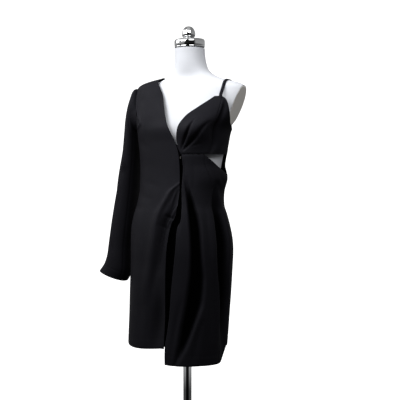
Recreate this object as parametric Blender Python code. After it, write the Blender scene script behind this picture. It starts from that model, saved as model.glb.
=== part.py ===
"""One-sleeved wrap dress in black crepe, worn by a limbless dress form on a pole and a round foot.

Metres, +Z up. The front faces -Y, the wearer's left is +X, and the foot's underside is at z = 0.
Every dress panel is a piece of one tube of cloth. A point of that tube is found from an angle, in
degrees round from the centre front (positive to the wearer's left), and a height.
"""

import math

import bmesh
import bpy
from mathutils import Vector
from mathutils.bvhtree import BVHTree

CLOTH = 0.002
SEAM_GAP = 0.0003
SEAM_HALF_ANGLE = 0.075
SLOPE_STEP = 0.0015
FOLD_RADIUS = 0.15

# Driving heights of the dress and its stand.
SHOULDER_TOP = 1.393
ARMHOLE_TOP = 1.357
ARMPIT = 1.207
BAND_TOP = 1.207
CUP_TOP = 1.3138
UNDERBUST = 1.119
SKIRT_TOP = 1.1165
CUTOUT_FLOOR = 1.0495
HEM = 0.458
FORM_BOTTOM = 0.66
NECK_TOP = 1.489

# Angles of the seams that run up and down.
RIGHT_SIDE = -90.0
LEFT_SIDE = 100.0
CENTRE_BACK = 180.0
ARMHOLE_FRONT_REACH = 23.0
ARMHOLE_BACK_REACH = 25.0

# The tube of cloth. Columns: height, half width to the wearer's right, half width to the left,
# depth in front of the middle, depth behind it, where the middle lies from front to back, and how
# square the section is, where 2 is an ellipse.
CLOTH_SECTIONS = [
    (0.400, 0.2215, 0.1345, 0.150, 0.128, -0.020, 2.00),
    (0.463, 0.2210, 0.1410, 0.150, 0.129, -0.020, 2.00),
    (0.560, 0.2175, 0.1495, 0.150, 0.131, -0.020, 2.00),
    (0.640, 0.2165, 0.1555, 0.150, 0.133, -0.020, 2.00),
    (0.736, 0.2125, 0.1625, 0.149, 0.135, -0.020, 2.00),
    (0.785, 0.2125, 0.1645, 0.149, 0.135, -0.020, 2.00),
    (0.827, 0.2115, 0.1620, 0.147, 0.132, -0.0195, 2.00),
    (0.8725, 0.208, 0.1530, 0.143, 0.124, -0.018, 2.00),
    (0.911, 0.201, 0.1410, 0.138, 0.116, -0.0155, 2.00),
    (0.9425, 0.193, 0.1290, 0.133, 0.109, -0.012, 2.00),
    (0.990, 0.1845, 0.1290, 0.127, 0.101, -0.008, 2.00),
    (1.030, 0.184, 0.1400, 0.123, 0.098, -0.005, 2.00),
    (1.055, 0.185, 0.1385, 0.121, 0.097, -0.004, 2.00),
    (1.080, 0.186, 0.1320, 0.120, 0.095, -0.003, 2.00),
    (1.1175, 0.189, 0.1360, 0.120, 0.096, -0.001, 2.05),
    (1.160, 0.193, 0.1420, 0.120, 0.101, 0.000, 2.10),
    (1.205, 0.197, 0.1510, 0.124, 0.106, 0.003, 2.25),
    (1.240, 0.203, 0.1780, 0.117, 0.106, 0.008, 2.40),
    (1.280, 0.209, 0.2020, 0.106, 0.103, 0.014, 2.42),
    (1.310, 0.2125, 0.2125, 0.096, 0.098, 0.018, 2.43),
    (1.343, 0.2115, 0.2115, 0.087, 0.089, 0.020, 2.45),
    (1.361, 0.204, 0.204, 0.081, 0.081, 0.020, 2.40),
    (1.373, 0.184, 0.184, 0.075, 0.074, 0.020, 2.27),
    (1.382, 0.154, 0.154, 0.068, 0.067, 0.020, 2.18),
    (1.389, 0.124, 0.124, 0.059, 0.058, 0.020, 2.10),
    (1.396, 0.098, 0.098, 0.048, 0.047, 0.020, 2.00),
]

# The dress form's body. Columns: height, half width, depth in front, depth behind, middle.
FORM_SECTIONS = [
    (0.660, 0.112, 0.088, 0.088, -0.020),
    (0.668, 0.122, 0.098, 0.098, -0.020),
    (0.700, 0.129, 0.104, 0.106, -0.020),
    (0.760, 0.132, 0.106, 0.114, -0.020),
    (0.810, 0.132, 0.105, 0.114, -0.020),
    (0.860, 0.126, 0.102, 0.106, -0.018),
    (0.920, 0.112, 0.094, 0.094, -0.013),
    (0.980, 0.106, 0.089, 0.085, -0.008),
    (1.040, 0.110, 0.088, 0.081, -0.005),
    (1.083, 0.117, 0.089, 0.082, -0.003),
    (1.120, 0.124, 0.090, 0.086, -0.001),
    (1.160, 0.133, 0.091, 0.092, 0.000),
    (1.205, 0.143, 0.092, 0.096, 0.003),
    (1.240, 0.169, 0.092, 0.097, 0.008),
    (1.280, 0.194, 0.089, 0.095, 0.014),
    (1.310, 0.206, 0.085, 0.090, 0.018),
    (1.335, 0.208, 0.080, 0.083, 0.020),
    (1.352, 0.201, 0.075, 0.076, 0.020),
    (1.364, 0.181, 0.070, 0.070, 0.020),
    (1.3725, 0.152, 0.066, 0.065, 0.020),
    (1.384, 0.111, 0.060, 0.059, 0.018),
    (1.398, 0.082, 0.056, 0.055, 0.014),
    (1.414, 0.065, 0.054, 0.054, 0.009),
    (1.440, 0.056, 0.053, 0.053, 0.004),
    (1.470, 0.053, 0.052, 0.052, 0.000),
    (1.489, 0.0525, 0.0525, 0.0525, -0.002),
]

# Edges of the wrapped front. Columns: height, distance to the wearer's left of centre.
RIGHT_FRONT_EDGE = [
    (0.4000, -0.0150),
    (0.4700, -0.0150),
    (0.6170, -0.0110),
    (0.7690, -0.0070),
    (0.8450, 0.0015),
    (0.8850, 0.0115),
    (0.9030, 0.0205),
    (0.9250, 0.0245),
    (0.9540, 0.0253),
    (1.0120, 0.0250),
    (1.0700, 0.0210),
    (1.1080, 0.0170),
    (1.1430, 0.0080),
    (1.1820, -0.0132),
    (1.2380, -0.0425),
    (1.2970, -0.0650),
    (1.3240, -0.0750),
    (1.3500, -0.0880),
    (1.3720, -0.1010),
    (1.3840, -0.1040),
    (1.3930, -0.1030),
]
LEFT_FRONT_EDGE = [
    (0.4000, -0.0115),
    (0.4660, -0.0110),
    (0.5100, -0.0035),
    (0.5790, 0.0065),
    (0.6550, 0.0130),
    (0.7300, 0.0208),
    (0.7880, 0.0270),
    (0.8680, 0.0310),
    (0.8890, 0.0400),
    (0.9360, 0.0380),
    (0.9950, 0.0325),
    (1.0310, 0.0325),
    (1.0700, 0.0325),
    (1.1165, 0.0265),
]
CUP_NECK_EDGE = [
    (1.119, 0.0225),
    (1.135, 0.0145),
    (1.162, 0.0090),
    (1.185, 0.0100),
    (1.208, 0.0150),
    (1.2285, 0.0246),
    (1.2517, 0.0425),
    (1.279, 0.0785),
    (1.302, 0.1100),
    (1.3138, 0.1258),
]

# Edges that are given as angles. Columns: height, angle.
CUP_SEAM = [(1.119, 54.0), (1.217, 49.0), (1.2555, 46.0), (1.286, 43.0), (1.3138, 40.0)]
CUP_ARM_EDGE = [
    (1.207, 100.0),
    (1.225, 81.0),
    (1.260, 63.0),
    (1.284, 54.0),
    (1.3138, 43.5),
]
PRINCESS_SEAM = [
    (0.4000, 78.0),
    (0.5600, 76.0),
    (0.8000, 71.5),
    (0.9000, 69.5),
    (0.9600, 66.0),
    (1.0120, 59.5),
    (1.0600, 51.0),
    (1.1165, 45.5),
]
BACK_NECK_EDGE = [
    (1.207, 180.0),
    (1.240, 193.0),
    (1.290, 211.0),
    (1.340, 228.0),
    (1.372, 242.0),
    (1.393, 256.0),
]

# The skirt's upper edge on the wearer's left, where the waist is cut out, and its hem.
# Columns: angle, height.
CUTOUT_EDGE = [(46.0, 1.1165), (56.0, 1.107), (72.0, 1.088), (88.0, 1.066), (100.0, 1.0495)]
DRAPE_HEM_LINE = [
    (-12.0, 0.4070),
    (10.0, 0.4020),
    (45.0, 0.4010),
    (72.0, 0.4010),
    (84.0, 0.4050),
    (91.0, 0.4220),
    (100.0, 0.4580),
]

# Folds of the skirt and of the wrapped front. A row is one place on the fold's line.
# Columns: height, angle, depth (a ridge is negative), half width on its right, on its left.
FOLDS = {
    "front drape": [
        (0.4000, 10.0, 0.007, 0.014, 0.016),
        (0.4291, 15.0, 0.010, 0.014, 0.018),
        (0.4728, 23.0, 0.015, 0.014, 0.020),
        (0.5232, 28.5, 0.020, 0.015, 0.024),
        (0.5736, 34.5, 0.025, 0.016, 0.028),
        (0.6139, 37.5, 0.028, 0.018, 0.030),
        (0.6912, 39.0, 0.030, 0.019, 0.031),
        (0.7685, 36.5, 0.030, 0.018, 0.030),
        (0.8088, 36.0, 0.029, 0.017, 0.028),
        (0.8928, 34.0, 0.023, 0.014, 0.022),
        (0.9466, 30.0, 0.014, 0.011, 0.016),
        (1.0037, 22.5, 0.005, 0.009, 0.013),
        (1.0450, 18.0, 0.000, 0.009, 0.012),
    ],
    "side drape": [
        (0.4000, 97.0, 0.000, 0.020, 0.020),
        (0.5000, 97.0, 0.005, 0.020, 0.020),
        (0.6240, 94.0, 0.013, 0.018, 0.020),
        (0.7315, 84.0, 0.017, 0.015, 0.022),
        (0.8458, 77.5, 0.017, 0.013, 0.020),
        (0.9230, 82.0, 0.012, 0.013, 0.018),
        (0.9850, 76.0, 0.004, 0.012, 0.014),
        (1.0300, 70.0, 0.000, 0.012, 0.014),
    ],
    "ridge from the tack": [
        (0.600, -27.0, 0.000, 0.020, 0.020),
        (0.674, -23.0, -0.006, 0.020, 0.016),
        (0.7315, -19.0, -0.009, 0.018, 0.013),
        (0.8266, -14.4, -0.010, 0.016, 0.010),
        (0.9000, -13.0, -0.009, 0.014, 0.010),
        (0.9450, -12.6, -0.006, 0.012, 0.010),
        (1.0000, -9.5, 0.000, 0.012, 0.010),
    ],
    "hollow beside the ridge": [
        (0.600, -19.0, 0.000, 0.010, 0.016),
        (0.674, -15.5, 0.006, 0.009, 0.016),
        (0.760, -10.5, 0.011, 0.009, 0.014),
        (0.830, -7.5, 0.013, 0.008, 0.012),
        (0.885, -4.5, 0.012, 0.008, 0.008),
        (0.903, -2.5, 0.004, 0.007, 0.006),
        (0.912, -2.0, 0.000, 0.007, 0.006),
    ],
}

# Tucks that gather the cup into its lower inner corner. Columns as for the folds.
CUP_TUCKS = {
    "upper tuck": [
        (1.132, 11.0, 0.001, 0.004, 0.004),
        (1.150, 14.5, 0.006, 0.005, 0.004),
        (1.183, 20.5, 0.010, 0.007, 0.005),
        (1.215, 25.0, 0.006, 0.007, 0.005),
        (1.234, 27.0, 0.000, 0.006, 0.005),
    ],
    "lower tuck": [
        (1.128, 12.5, 0.001, 0.004, 0.005),
        (1.138, 22.0, 0.007, 0.006, 0.006),
        (1.155, 32.0, 0.011, 0.009, 0.008),
        (1.178, 39.5, 0.010, 0.010, 0.009),
        (1.205, 43.5, 0.005, 0.008, 0.008),
        (1.228, 45.0, 0.000, 0.006, 0.006),
    ],
}

# The sleeve. Columns: outer side's x and height, inner side's x and height, middle, half depth.
SLEEVE_RINGS = [
    (-0.2200, 1.3470, -0.2090, 1.2000, 0.013, 0.052),
    (-0.2350, 1.3150, -0.2085, 1.1880, 0.013, 0.055),
    (-0.2440, 1.2650, -0.2080, 1.1700, 0.013, 0.060),
    (-0.2490, 1.2050, -0.2060, 1.1420, 0.012, 0.062),
    (-0.2560, 1.1400, -0.2070, 1.1000, 0.011, 0.062),
    (-0.2720, 1.0600, -0.2110, 1.0400, 0.010, 0.062),
    (-0.2840, 0.9850, -0.2170, 0.9700, 0.008, 0.061),
    (-0.3000, 0.8900, -0.2270, 0.8720, 0.004, 0.060),
    (-0.3110, 0.8120, -0.2345, 0.7950, 0.000, 0.058),
    (-0.3175, 0.7650, -0.2345, 0.7440, -0.004, 0.056),
    (-0.3300, 0.7330, -0.2360, 0.7030, -0.006, 0.054),
    (-0.3490, 0.7070, -0.2400, 0.6680, -0.008, 0.052),
]
SLEEVE_FRONT_SEAM = 140.0
SLEEVE_BACK_SEAM = 220.0

# Fullness over the bust.
BUST_ANGLE = 28.0
BUST_HEIGHT = 1.200
BUST_ACROSS = 0.050
BUST_UP = 0.047
FORM_BUST = 0.020
CUP_FULLNESS = 0.027

# The form's armhole plates lean in towards the waist.
PLATE_TOP_X, PLATE_TOP_Z = 0.197, 1.350
PLATE_LOW_X, PLATE_LOW_Z = 0.1460, 1.205
PLATE_FLOOR = 1.195

UNDERLAP_DEPTH = 0.012
UNDERLAP_FREE, UNDERLAP_BEHIND_CUP = 1.050, 1.140
STRAP_WIDTH = 0.0095
STRAP_THICKNESS = 0.0016
STRAP_LIFT = 0.0008
STRAP_BACK_ANGLE = 142.0

# Turned metal fittings. Columns: radius, height above the fitting's own foot.
CAP_PROFILE = [(0.0, 0.0), (0.0520, 0.0), (0.0530, 0.004), (0.0535, 0.022), (0.0520, 0.028),
               (0.0480, 0.0305), (0.0420, 0.0315), (0.0, 0.0315)]
FINIAL_PROFILE = [(0.0, 0.0), (0.0170, 0.0), (0.0190, 0.003), (0.0225, 0.008), (0.0235, 0.015),
                  (0.0225, 0.023), (0.0195, 0.031), (0.0140, 0.038), (0.0075, 0.0415), (0.0, 0.0425)]
FOOT_PROFILE = [(0.0, 0.0), (0.168, 0.0), (0.170, 0.002), (0.170, 0.010), (0.167, 0.013),
                (0.060, 0.016), (0.0, 0.0162)]
SOCKET_PROFILE = [(0.0, 0.0), (0.045, 0.0), (0.035, 0.006), (0.0275, 0.014), (0.0235, 0.024),
                  (0.022, 0.040), (0.022, 0.043), (0.0, 0.043)]
POLE_RADIUS = 0.0145
CAP_LEAN = 2.5
FITTING_SIDES = 32

CREPE = ("black crepe", (0.012, 0.012, 0.014), 0.62, 0.0)
PLASTIC = ("white form plastic", (0.80, 0.80, 0.82), 0.38, 0.0)
CHROME = ("chrome", (0.72, 0.71, 0.69), 0.12, 1.0)


def material(kind):
    """The Blender material of this kind, made the first time that it is asked for."""
    name, colour, roughness, metallic = kind
    made = bpy.data.materials.get(name)
    if made is None:
        made = bpy.data.materials.new(name)
        made.use_nodes = True
        shader = made.node_tree.nodes["Principled BSDF"]
        shader.inputs["Base Color"].default_value = (*colour, 1.0)
        shader.inputs["Roughness"].default_value = roughness
        shader.inputs["Metallic"].default_value = metallic
    return made


def slope(rows, i):
    """How fast each column changes at row i, from its neighbours."""
    low, high = rows[max(i - 1, 0)], rows[min(i + 1, len(rows) - 1)]
    return [(h - l) / (high[0] - low[0]) for l, h in zip(low[1:], high[1:])]


def read(rows, at):
    """The columns after the first, on a smooth curve through the rows, where the first is at."""
    at = min(max(at, rows[0][0]), rows[-1][0])
    i = 0
    while i < len(rows) - 2 and rows[i + 1][0] < at:
        i += 1
    low, high = rows[i], rows[i + 1]
    span = high[0] - low[0]
    t = (at - low[0]) / span
    start, end = slope(rows, i), slope(rows, i + 1)
    return [
        (2 * t**3 - 3 * t**2 + 1) * low[k + 1]
        + (t**3 - 2 * t**2 + t) * span * start[k]
        + (3 * t**2 - 2 * t**3) * high[k + 1]
        + (t**3 - t**2) * span * end[k]
        for k in range(len(low) - 1)
    ]


def plain_cloth(angle, z):
    """A point of the tube of cloth with no folds."""
    right, left, front, back, middle, square = read(CLOTH_SECTIONS, z)
    turn = math.radians(angle)
    across = math.copysign(abs(math.sin(turn)) ** (2 / square), math.sin(turn))
    ahead = math.copysign(abs(math.cos(turn)) ** (2 / square), math.cos(turn))
    half_width = left if across > 0 else right
    depth = front if ahead > 0 else back
    return Vector((half_width * across, middle - depth * ahead, z))


def fold_depth(folds, angle, z):
    """How far the folds push the cloth inwards here."""
    pushed = 0.0
    for rows in folds.values():
        if rows[0][0] <= z <= rows[-1][0]:
            line, depth, right, left = read(rows, z)
            away = math.radians(angle - line) * FOLD_RADIUS
            pushed += depth * math.exp(-((away / (left if away > 0 else right)) ** 2))
    return pushed


def bust_rise(angle, z):
    """The bust's share of fullness here, from 0 to 1."""
    across = math.radians(abs(angle) - BUST_ANGLE) * FOLD_RADIUS / BUST_ACROSS
    up = (z - BUST_HEIGHT) / BUST_UP
    return math.exp(-(across**2) - up**2)


def facing(surface, angle, z):
    """The outward direction of a surface that is a function of angle and height."""
    turn = math.degrees(SLOPE_STEP / FOLD_RADIUS)
    along = surface(angle + turn, z) - surface(angle - turn, z)
    up = surface(angle, z + SLOPE_STEP) - surface(angle, z - SLOPE_STEP)
    return along.cross(up).normalized()


def draped_cloth(angle, z):
    """A point of the tube of cloth with the skirt's folds."""
    inwards = -facing(plain_cloth, angle, z)
    return plain_cloth(angle, z) + inwards * fold_depth(FOLDS, angle, z)


def cup_cloth(angle, z):
    """A point of the cup, which is full over the bust and tucked at its lower inner corner."""
    outwards = facing(plain_cloth, angle, z)
    rise = CUP_FULLNESS * bust_rise(angle, z) - fold_depth(CUP_TUCKS, angle, z)
    return plain_cloth(angle, z) + outwards * rise


def underlap_cloth(angle, z):
    """A point of the underlap, which is sewn behind the front at the top and falls away below."""
    joined = max(0.0, min(1.0, (z - UNDERLAP_FREE) / 0.040, (UNDERLAP_BEHIND_CUP - z) / 0.018))
    depth = UNDERLAP_DEPTH + (CLOTH + 2 * SEAM_GAP - UNDERLAP_DEPTH) * joined
    return draped_cloth(angle, z) - facing(plain_cloth, angle, z) * depth


def angle_at(x, z):
    """The angle at which the tube of cloth is this far left of centre, on its front."""
    right, left, _, _, _, square = read(CLOTH_SECTIONS, z)
    share = min(1.0, abs(x) / (left if x > 0 else right)) ** (square / 2)
    return math.copysign(math.degrees(math.asin(share)), x)


def steps(start, end, count):
    """Evenly spaced values from start to end, count of them after the first."""
    return [start + (end - start) * i / count for i in range(count + 1)]


def add_object(name, bm, kind):
    """Puts the mesh in the scene as one object with one material, shaded smooth."""
    bmesh.ops.recalc_face_normals(bm, faces=bm.faces)
    mesh = bpy.data.meshes.new(name)
    bm.to_mesh(mesh)
    bm.free()
    mesh.materials.append(material(kind))
    mesh.shade_smooth()
    mesh.set_sharp_from_angle(angle=math.radians(50))
    obj = bpy.data.objects.new(name, mesh)
    bpy.context.scene.collection.objects.link(obj)
    return obj


def wall(name, outside, inside, kind=CREPE):
    """A closed wall between two grids of points, which are lists of rows."""
    bm = bmesh.new()
    skins = [[[bm.verts.new(p) for p in row] for row in grid] for grid in (outside, inside)]
    last_row, last_column = len(outside) - 1, len(outside[0]) - 1
    for skin in skins:
        for i in range(last_row):
            for j in range(last_column):
                bm.faces.new((skin[i][j], skin[i][j + 1], skin[i + 1][j + 1], skin[i + 1][j]))
    rim = [(0, j) for j in range(last_column)]
    rim += [(i, last_column) for i in range(last_row)]
    rim += [(last_row, j) for j in range(last_column, 0, -1)]
    rim += [(i, 0) for i in range(last_row, 0, -1)]
    for here, there in zip(rim, rim[1:] + rim[:1]):
        (i, j), (k, m) = here, there
        bm.faces.new((skins[0][i][j], skins[0][k][m], skins[1][k][m], skins[1][i][j]))
    return add_object(name, bm, kind)


def panel(name, surface, places, thickness=CLOTH):
    """A wall of cloth whose outer points lie on a surface at a grid of (angle, height) places."""
    outside = [[surface(*place) for place in row] for row in places]
    inside = [
        [point - facing(surface, *place) * thickness for point, place in zip(points, row)]
        for points, row in zip(outside, places)
    ]
    return wall(name, outside, inside)


def level_places(heights, first_edge, last_edge, columns):
    """Places in level rows between two edges, each a function that gives an angle at a height."""
    return [
        [(angle, z) for angle in steps(first_edge(z), last_edge(z), columns)] for z in heights
    ]


def sloped_places(shares, top, bottom, first_edge, last_edge, columns):
    """Places whose rows run from an upper edge to a lower one, each a height at an angle."""
    rows = []
    for share in shares:
        row = []
        for across in steps(0.0, 1.0, columns):
            angle, z = first_edge(SKIRT_TOP), SKIRT_TOP
            for _ in range(6):
                angle = first_edge(z) + (last_edge(z) - first_edge(z)) * across
                z = top(angle) + (bottom(angle) - top(angle)) * share
            row.append((angle, z))
        rows.append(row)
    return rows


def edge(rows, shift=0.0):
    """An edge from a table of angles."""
    return lambda z: read(rows, z)[0] + shift


def front_edge(rows):
    """An edge from a table of distances left of centre."""
    return lambda z: angle_at(read(rows, z)[0], z)


def armhole_reach(z):
    """From 0 at the top and bottom of the armhole to 1 halfway down it."""
    middle, half = (ARMHOLE_TOP + ARMPIT) / 2, (ARMHOLE_TOP - ARMPIT) / 2
    return math.sqrt(max(0.0, 1.0 - ((z - middle) / half) ** 2))


SKIRT_SHARES = [0.0, 0.03, 0.07, 0.12] + steps(0.17, 1.0, 15)
SKIRT_HEIGHTS = [CUTOUT_FLOOR + (HEM - CUTOUT_FLOOR) * share for share in SKIRT_SHARES]
WAIST_HEIGHTS = [BAND_TOP, 1.192, 1.175, 1.158, 1.139, UNDERBUST, SKIRT_TOP, 1.098, 1.080, 1.056]
ARMHOLE_TURNS = 9
ARMHOLE_HEIGHTS = [
    (ARMHOLE_TOP + ARMPIT) / 2 + (ARMHOLE_TOP - ARMPIT) / 2 * math.cos(math.pi * i / ARMHOLE_TURNS)
    for i in range(ARMHOLE_TURNS)
]
SHOULDER_HEIGHTS = [SHOULDER_TOP, 1.3895, 1.385, 1.379, 1.372, 1.364]
RIGHT_HEIGHTS = SHOULDER_HEIGHTS + ARMHOLE_HEIGHTS + WAIST_HEIGHTS + SKIRT_HEIGHTS


def make_front_right():
    """The wearer's right front, cut in one from shoulder to hem, with the neckline down its edge."""
    def outer(z):
        return RIGHT_SIDE + SEAM_HALF_ANGLE + ARMHOLE_FRONT_REACH * armhole_reach(z)

    places = level_places(RIGHT_HEIGHTS, outer, front_edge(RIGHT_FRONT_EDGE), 15)
    return panel("front_right", draped_cloth, places)


def make_back_right():
    """The right back, from the shoulder to the hem and over to the centre back."""
    def inner(z):
        return (read(BACK_NECK_EDGE, z)[0] if z > BAND_TOP else CENTRE_BACK) + SEAM_HALF_ANGLE

    def outer(z):
        return 360 + RIGHT_SIDE - SEAM_HALF_ANGLE - ARMHOLE_BACK_REACH * armhole_reach(z)

    places = level_places(RIGHT_HEIGHTS, inner, outer, 11)
    return panel("back_right", draped_cloth, places)


def make_back_left():
    """The left back: the band behind the cup, the waist beside the cutout, and the skirt."""
    def outer(z):
        beside_cutout = CUTOUT_FLOOR + 0.003 < z < UNDERBUST - 0.001
        return (113.0 if beside_cutout else LEFT_SIDE) + SEAM_HALF_ANGLE

    places = level_places(
        WAIST_HEIGHTS + SKIRT_HEIGHTS, outer, lambda z: CENTRE_BACK - SEAM_HALF_ANGLE, 8
    )
    return panel("back_left", draped_cloth, places)


def make_skirt_left():
    """The longer left front of the skirt, and the side panel beyond its curved seam."""
    def hem(angle):
        return read(DRAPE_HEM_LINE, angle)[0]

    def waist(angle):
        return read(CUTOUT_EDGE, angle)[0]

    seam, last = edge(PRINCESS_SEAM), LEFT_SIDE - SEAM_HALF_ANGLE
    front = sloped_places(SKIRT_SHARES, waist, hem, front_edge(LEFT_FRONT_EDGE),
                          lambda z: seam(z) - 2 * SEAM_HALF_ANGLE, 14)
    side = sloped_places(SKIRT_SHARES, waist, hem, lambda z: seam(z) + SEAM_HALF_ANGLE,
                         lambda z: last, 9)
    return [panel("front_left", draped_cloth, front), panel("side_left", draped_cloth, side)]


def make_cup():
    """The cup, tucked in front, and the plain side that carries it round to the back."""
    heights = steps(SKIRT_TOP + SEAM_GAP, CUP_TOP, 15)
    seam = edge(CUP_SEAM)
    front = level_places(heights, front_edge(CUP_NECK_EDGE),
                         lambda z: seam(z) - SEAM_HALF_ANGLE, 14)
    side_heights = steps(SKIRT_TOP + SEAM_GAP, BAND_TOP, 5) + steps(BAND_TOP, CUP_TOP, 8)[1:]
    side = level_places(side_heights, lambda z: seam(z) + SEAM_HALF_ANGLE,
                        edge(CUP_ARM_EDGE, -SEAM_HALF_ANGLE), 8)
    return [panel("cup_front", cup_cloth, front), panel("cup_side", cup_cloth, side)]


def make_underlap():
    """The strip under the wrapped opening, which joins the two fronts behind their edges."""
    heights = [1.148, 1.134, 1.118, 1.104, 1.090, 1.070] + steps(1.045, HEM + 0.004, 18)
    places = level_places(
        heights,
        lambda z: angle_at(read(RIGHT_FRONT_EDGE, z)[0] - 0.020, z),
        lambda z: angle_at(read(LEFT_FRONT_EDGE, z)[0] + 0.013, z),
        5,
    )
    return panel("front_underlap", underlap_cloth, places, CLOTH * 0.75)


def armhole_point(turn):
    """A point of the armhole's edge. Turn 0 is the shoulder, 90 the front, 180 the armpit."""
    across, up = math.sin(math.radians(turn)), math.cos(math.radians(turn))
    reach = ARMHOLE_FRONT_REACH if across > 0 else ARMHOLE_BACK_REACH
    z = (ARMHOLE_TOP + ARMPIT) / 2 + ((ARMHOLE_TOP - ARMPIT) / 2 - 2 * SEAM_GAP) * up
    angle = RIGHT_SIDE + (reach - SEAM_HALF_ANGLE * 3) * across
    return plain_cloth(angle, z) + facing(plain_cloth, angle, z) * SEAM_GAP


def sleeve_point(turn, ring):
    """A point of the sleeve. Ring 0 is the armhole and each later one a row of the table."""
    across, out = math.sin(math.radians(turn)), math.cos(math.radians(turn))
    start = armhole_point(turn)

    def on_row(i):
        if i < 0:
            return start
        out_x, out_z, in_x, in_z, middle, half_depth = SLEEVE_RINGS[i]
        return Vector((
            (out_x + in_x) / 2 + (out_x - in_x) / 2 * out,
            middle - half_depth * across,
            (out_z + in_z) / 2 + (out_z - in_z) / 2 * out,
        ))

    i = min(int(ring), len(SLEEVE_RINGS) - 1)
    rows = [(k, *on_row(k - 1)) for k in range(max(i - 1, 0), min(i + 3, len(SLEEVE_RINGS) + 1))]
    return Vector(read(rows, ring))


def sleeve_facing(turn, ring):
    """The outward direction of the sleeve."""
    around = sleeve_point(turn + 2, ring) - sleeve_point(turn - 2, ring)
    lower, upper = max(ring - 0.05, 0.0), min(ring + 0.05, len(SLEEVE_RINGS))
    down = sleeve_point(turn, upper) - sleeve_point(turn, lower)
    return down.cross(around).normalized()


def make_sleeve():
    """A two-piece sleeve that hangs empty beside the body."""
    rings = [0.0, 0.25, 0.6] + steps(1.0, float(len(SLEEVE_RINGS)), 16)
    half_gap = 0.5
    made = []
    for name, first, last, columns in (
        ("sleeve_upper", SLEEVE_BACK_SEAM - 360, SLEEVE_FRONT_SEAM, 14),
        ("sleeve_under", SLEEVE_FRONT_SEAM, SLEEVE_BACK_SEAM, 4),
    ):
        turns = steps(first + half_gap, last - half_gap, columns)
        outside = [[sleeve_point(turn, ring) for turn in turns] for ring in rings]
        inside = [
            [sleeve_point(turn, ring) - sleeve_facing(turn, ring) * CLOTH for turn in turns]
            for ring in rings
        ]
        made.append(wall(name, outside, inside))
    return made


def form_point(angle, z):
    """A point of the dress form's body."""
    half_width, front, back, middle = read(FORM_SECTIONS, z)
    turn = math.radians(angle)
    across, ahead = math.sin(turn), math.cos(turn)
    point = Vector((half_width * across, middle - (front if ahead > 0 else back) * ahead, z))
    signed = (angle + 180) % 360 - 180
    return point + Vector((across * 0.5, -ahead, 0.0)) * FORM_BUST * bust_rise(signed, z)


def make_form_body():
    """The body of the dress form, in one shell, cut flat at the two armholes."""
    heights = [FORM_BOTTOM, 0.668] + steps(0.70, 1.06, 8) + steps(1.10, 1.30, 8)
    heights += [1.32, 1.338, 1.352, 1.362, 1.3705, 1.378, 1.388, 1.40, 1.418, 1.445, 1.47, NECK_TOP]
    sides = 40
    bm = bmesh.new()
    rings = [
        [bm.verts.new(form_point(360 * i / sides, z)) for i in range(sides)] for z in heights
    ]
    for low, high in zip(rings, rings[1:]):
        for i in range(sides):
            j = (i + 1) % sides
            bm.faces.new((low[i], low[j], high[j], high[i]))
    bm.faces.new(rings[0])
    bm.faces.new(rings[-1])
    bmesh.ops.recalc_face_normals(bm, faces=bm.faces)
    lean = math.atan2(PLATE_TOP_X - PLATE_LOW_X, PLATE_TOP_Z - PLATE_LOW_Z)
    for side in (-1, 1):
        upper = [f for f in bm.faces if min(v.co.z for v in f.verts) > PLATE_FLOOR]
        upper_edges = {e for f in upper for e in f.edges}
        upper_verts = {v for f in upper for v in f.verts}
        cut = bmesh.ops.bisect_plane(
            bm,
            geom=[*upper, *upper_edges, *upper_verts],
            plane_co=(side * PLATE_TOP_X, 0, PLATE_TOP_Z),
            plane_no=(side * math.cos(lean), 0, -math.sin(lean)),
            clear_outer=True,
        )
        border = [e for e in cut["geom_cut"] if isinstance(e, bmesh.types.BMEdge)]
        bmesh.ops.contextual_create(bm, geom=border)
    return add_object("form_body", bm, PLASTIC)


def turned(name, profile, foot, lean, kind):
    """A solid turned from a profile, with its foot at a point, leaning forwards by an angle."""
    bm = bmesh.new()
    points = [bm.verts.new((radius, 0, height)) for radius, height in profile]
    lines = [bm.edges.new(pair) for pair in zip(points, points[1:])]
    bmesh.ops.spin(bm, geom=points + lines, axis=(0, 0, 1), cent=(0, 0, 0), dvec=(0, 0, 0),
                   angle=2 * math.pi, steps=FITTING_SIDES)
    bmesh.ops.remove_doubles(bm, verts=bm.verts, dist=1e-5)
    obj = add_object(name, bm, kind)
    obj.location = foot
    obj.rotation_euler = (math.radians(lean), 0, 0)
    return obj


def make_stand():
    """The neck cap, its finial, the pole, the socket it stands in and the round foot."""
    neck_middle = read(FORM_SECTIONS, NECK_TOP)[3]
    lean = math.radians(CAP_LEAN)
    cap_foot = Vector((0, neck_middle, NECK_TOP + SEAM_GAP + 0.0535 * math.sin(lean)))
    up = Vector((0, -math.sin(lean), math.cos(lean)))
    finial_foot = cap_foot + up * (CAP_PROFILE[-1][1] + SEAM_GAP) + Vector((0, -0.006, 0))
    pole_middle = read(FORM_SECTIONS, FORM_BOTTOM)[3]
    socket_foot = FOOT_PROFILE[-1][1] + SEAM_GAP
    pole_foot = socket_foot + SOCKET_PROFILE[-1][1] + SEAM_GAP
    pole_top = FORM_BOTTOM - SEAM_GAP
    pole_profile = [(0.0, 0.0), (POLE_RADIUS, 0.0), (POLE_RADIUS, pole_top - pole_foot - 0.012),
                    (0.045, pole_top - pole_foot - 0.006), (0.045, pole_top - pole_foot),
                    (0.0, pole_top - pole_foot)]
    turned("form_neck_cap", CAP_PROFILE, cap_foot, CAP_LEAN, CHROME)
    turned("form_finial", FINIAL_PROFILE, finial_foot, CAP_LEAN, CHROME)
    turned("form_pole", pole_profile, (0, pole_middle, pole_foot), 0.0, CHROME)
    turned("form_socket", SOCKET_PROFILE, (0, pole_middle, socket_foot), 0.0, CHROME)
    turned("form_foot", FOOT_PROFILE, (0, pole_middle, 0), 0.0, CHROME)


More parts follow.
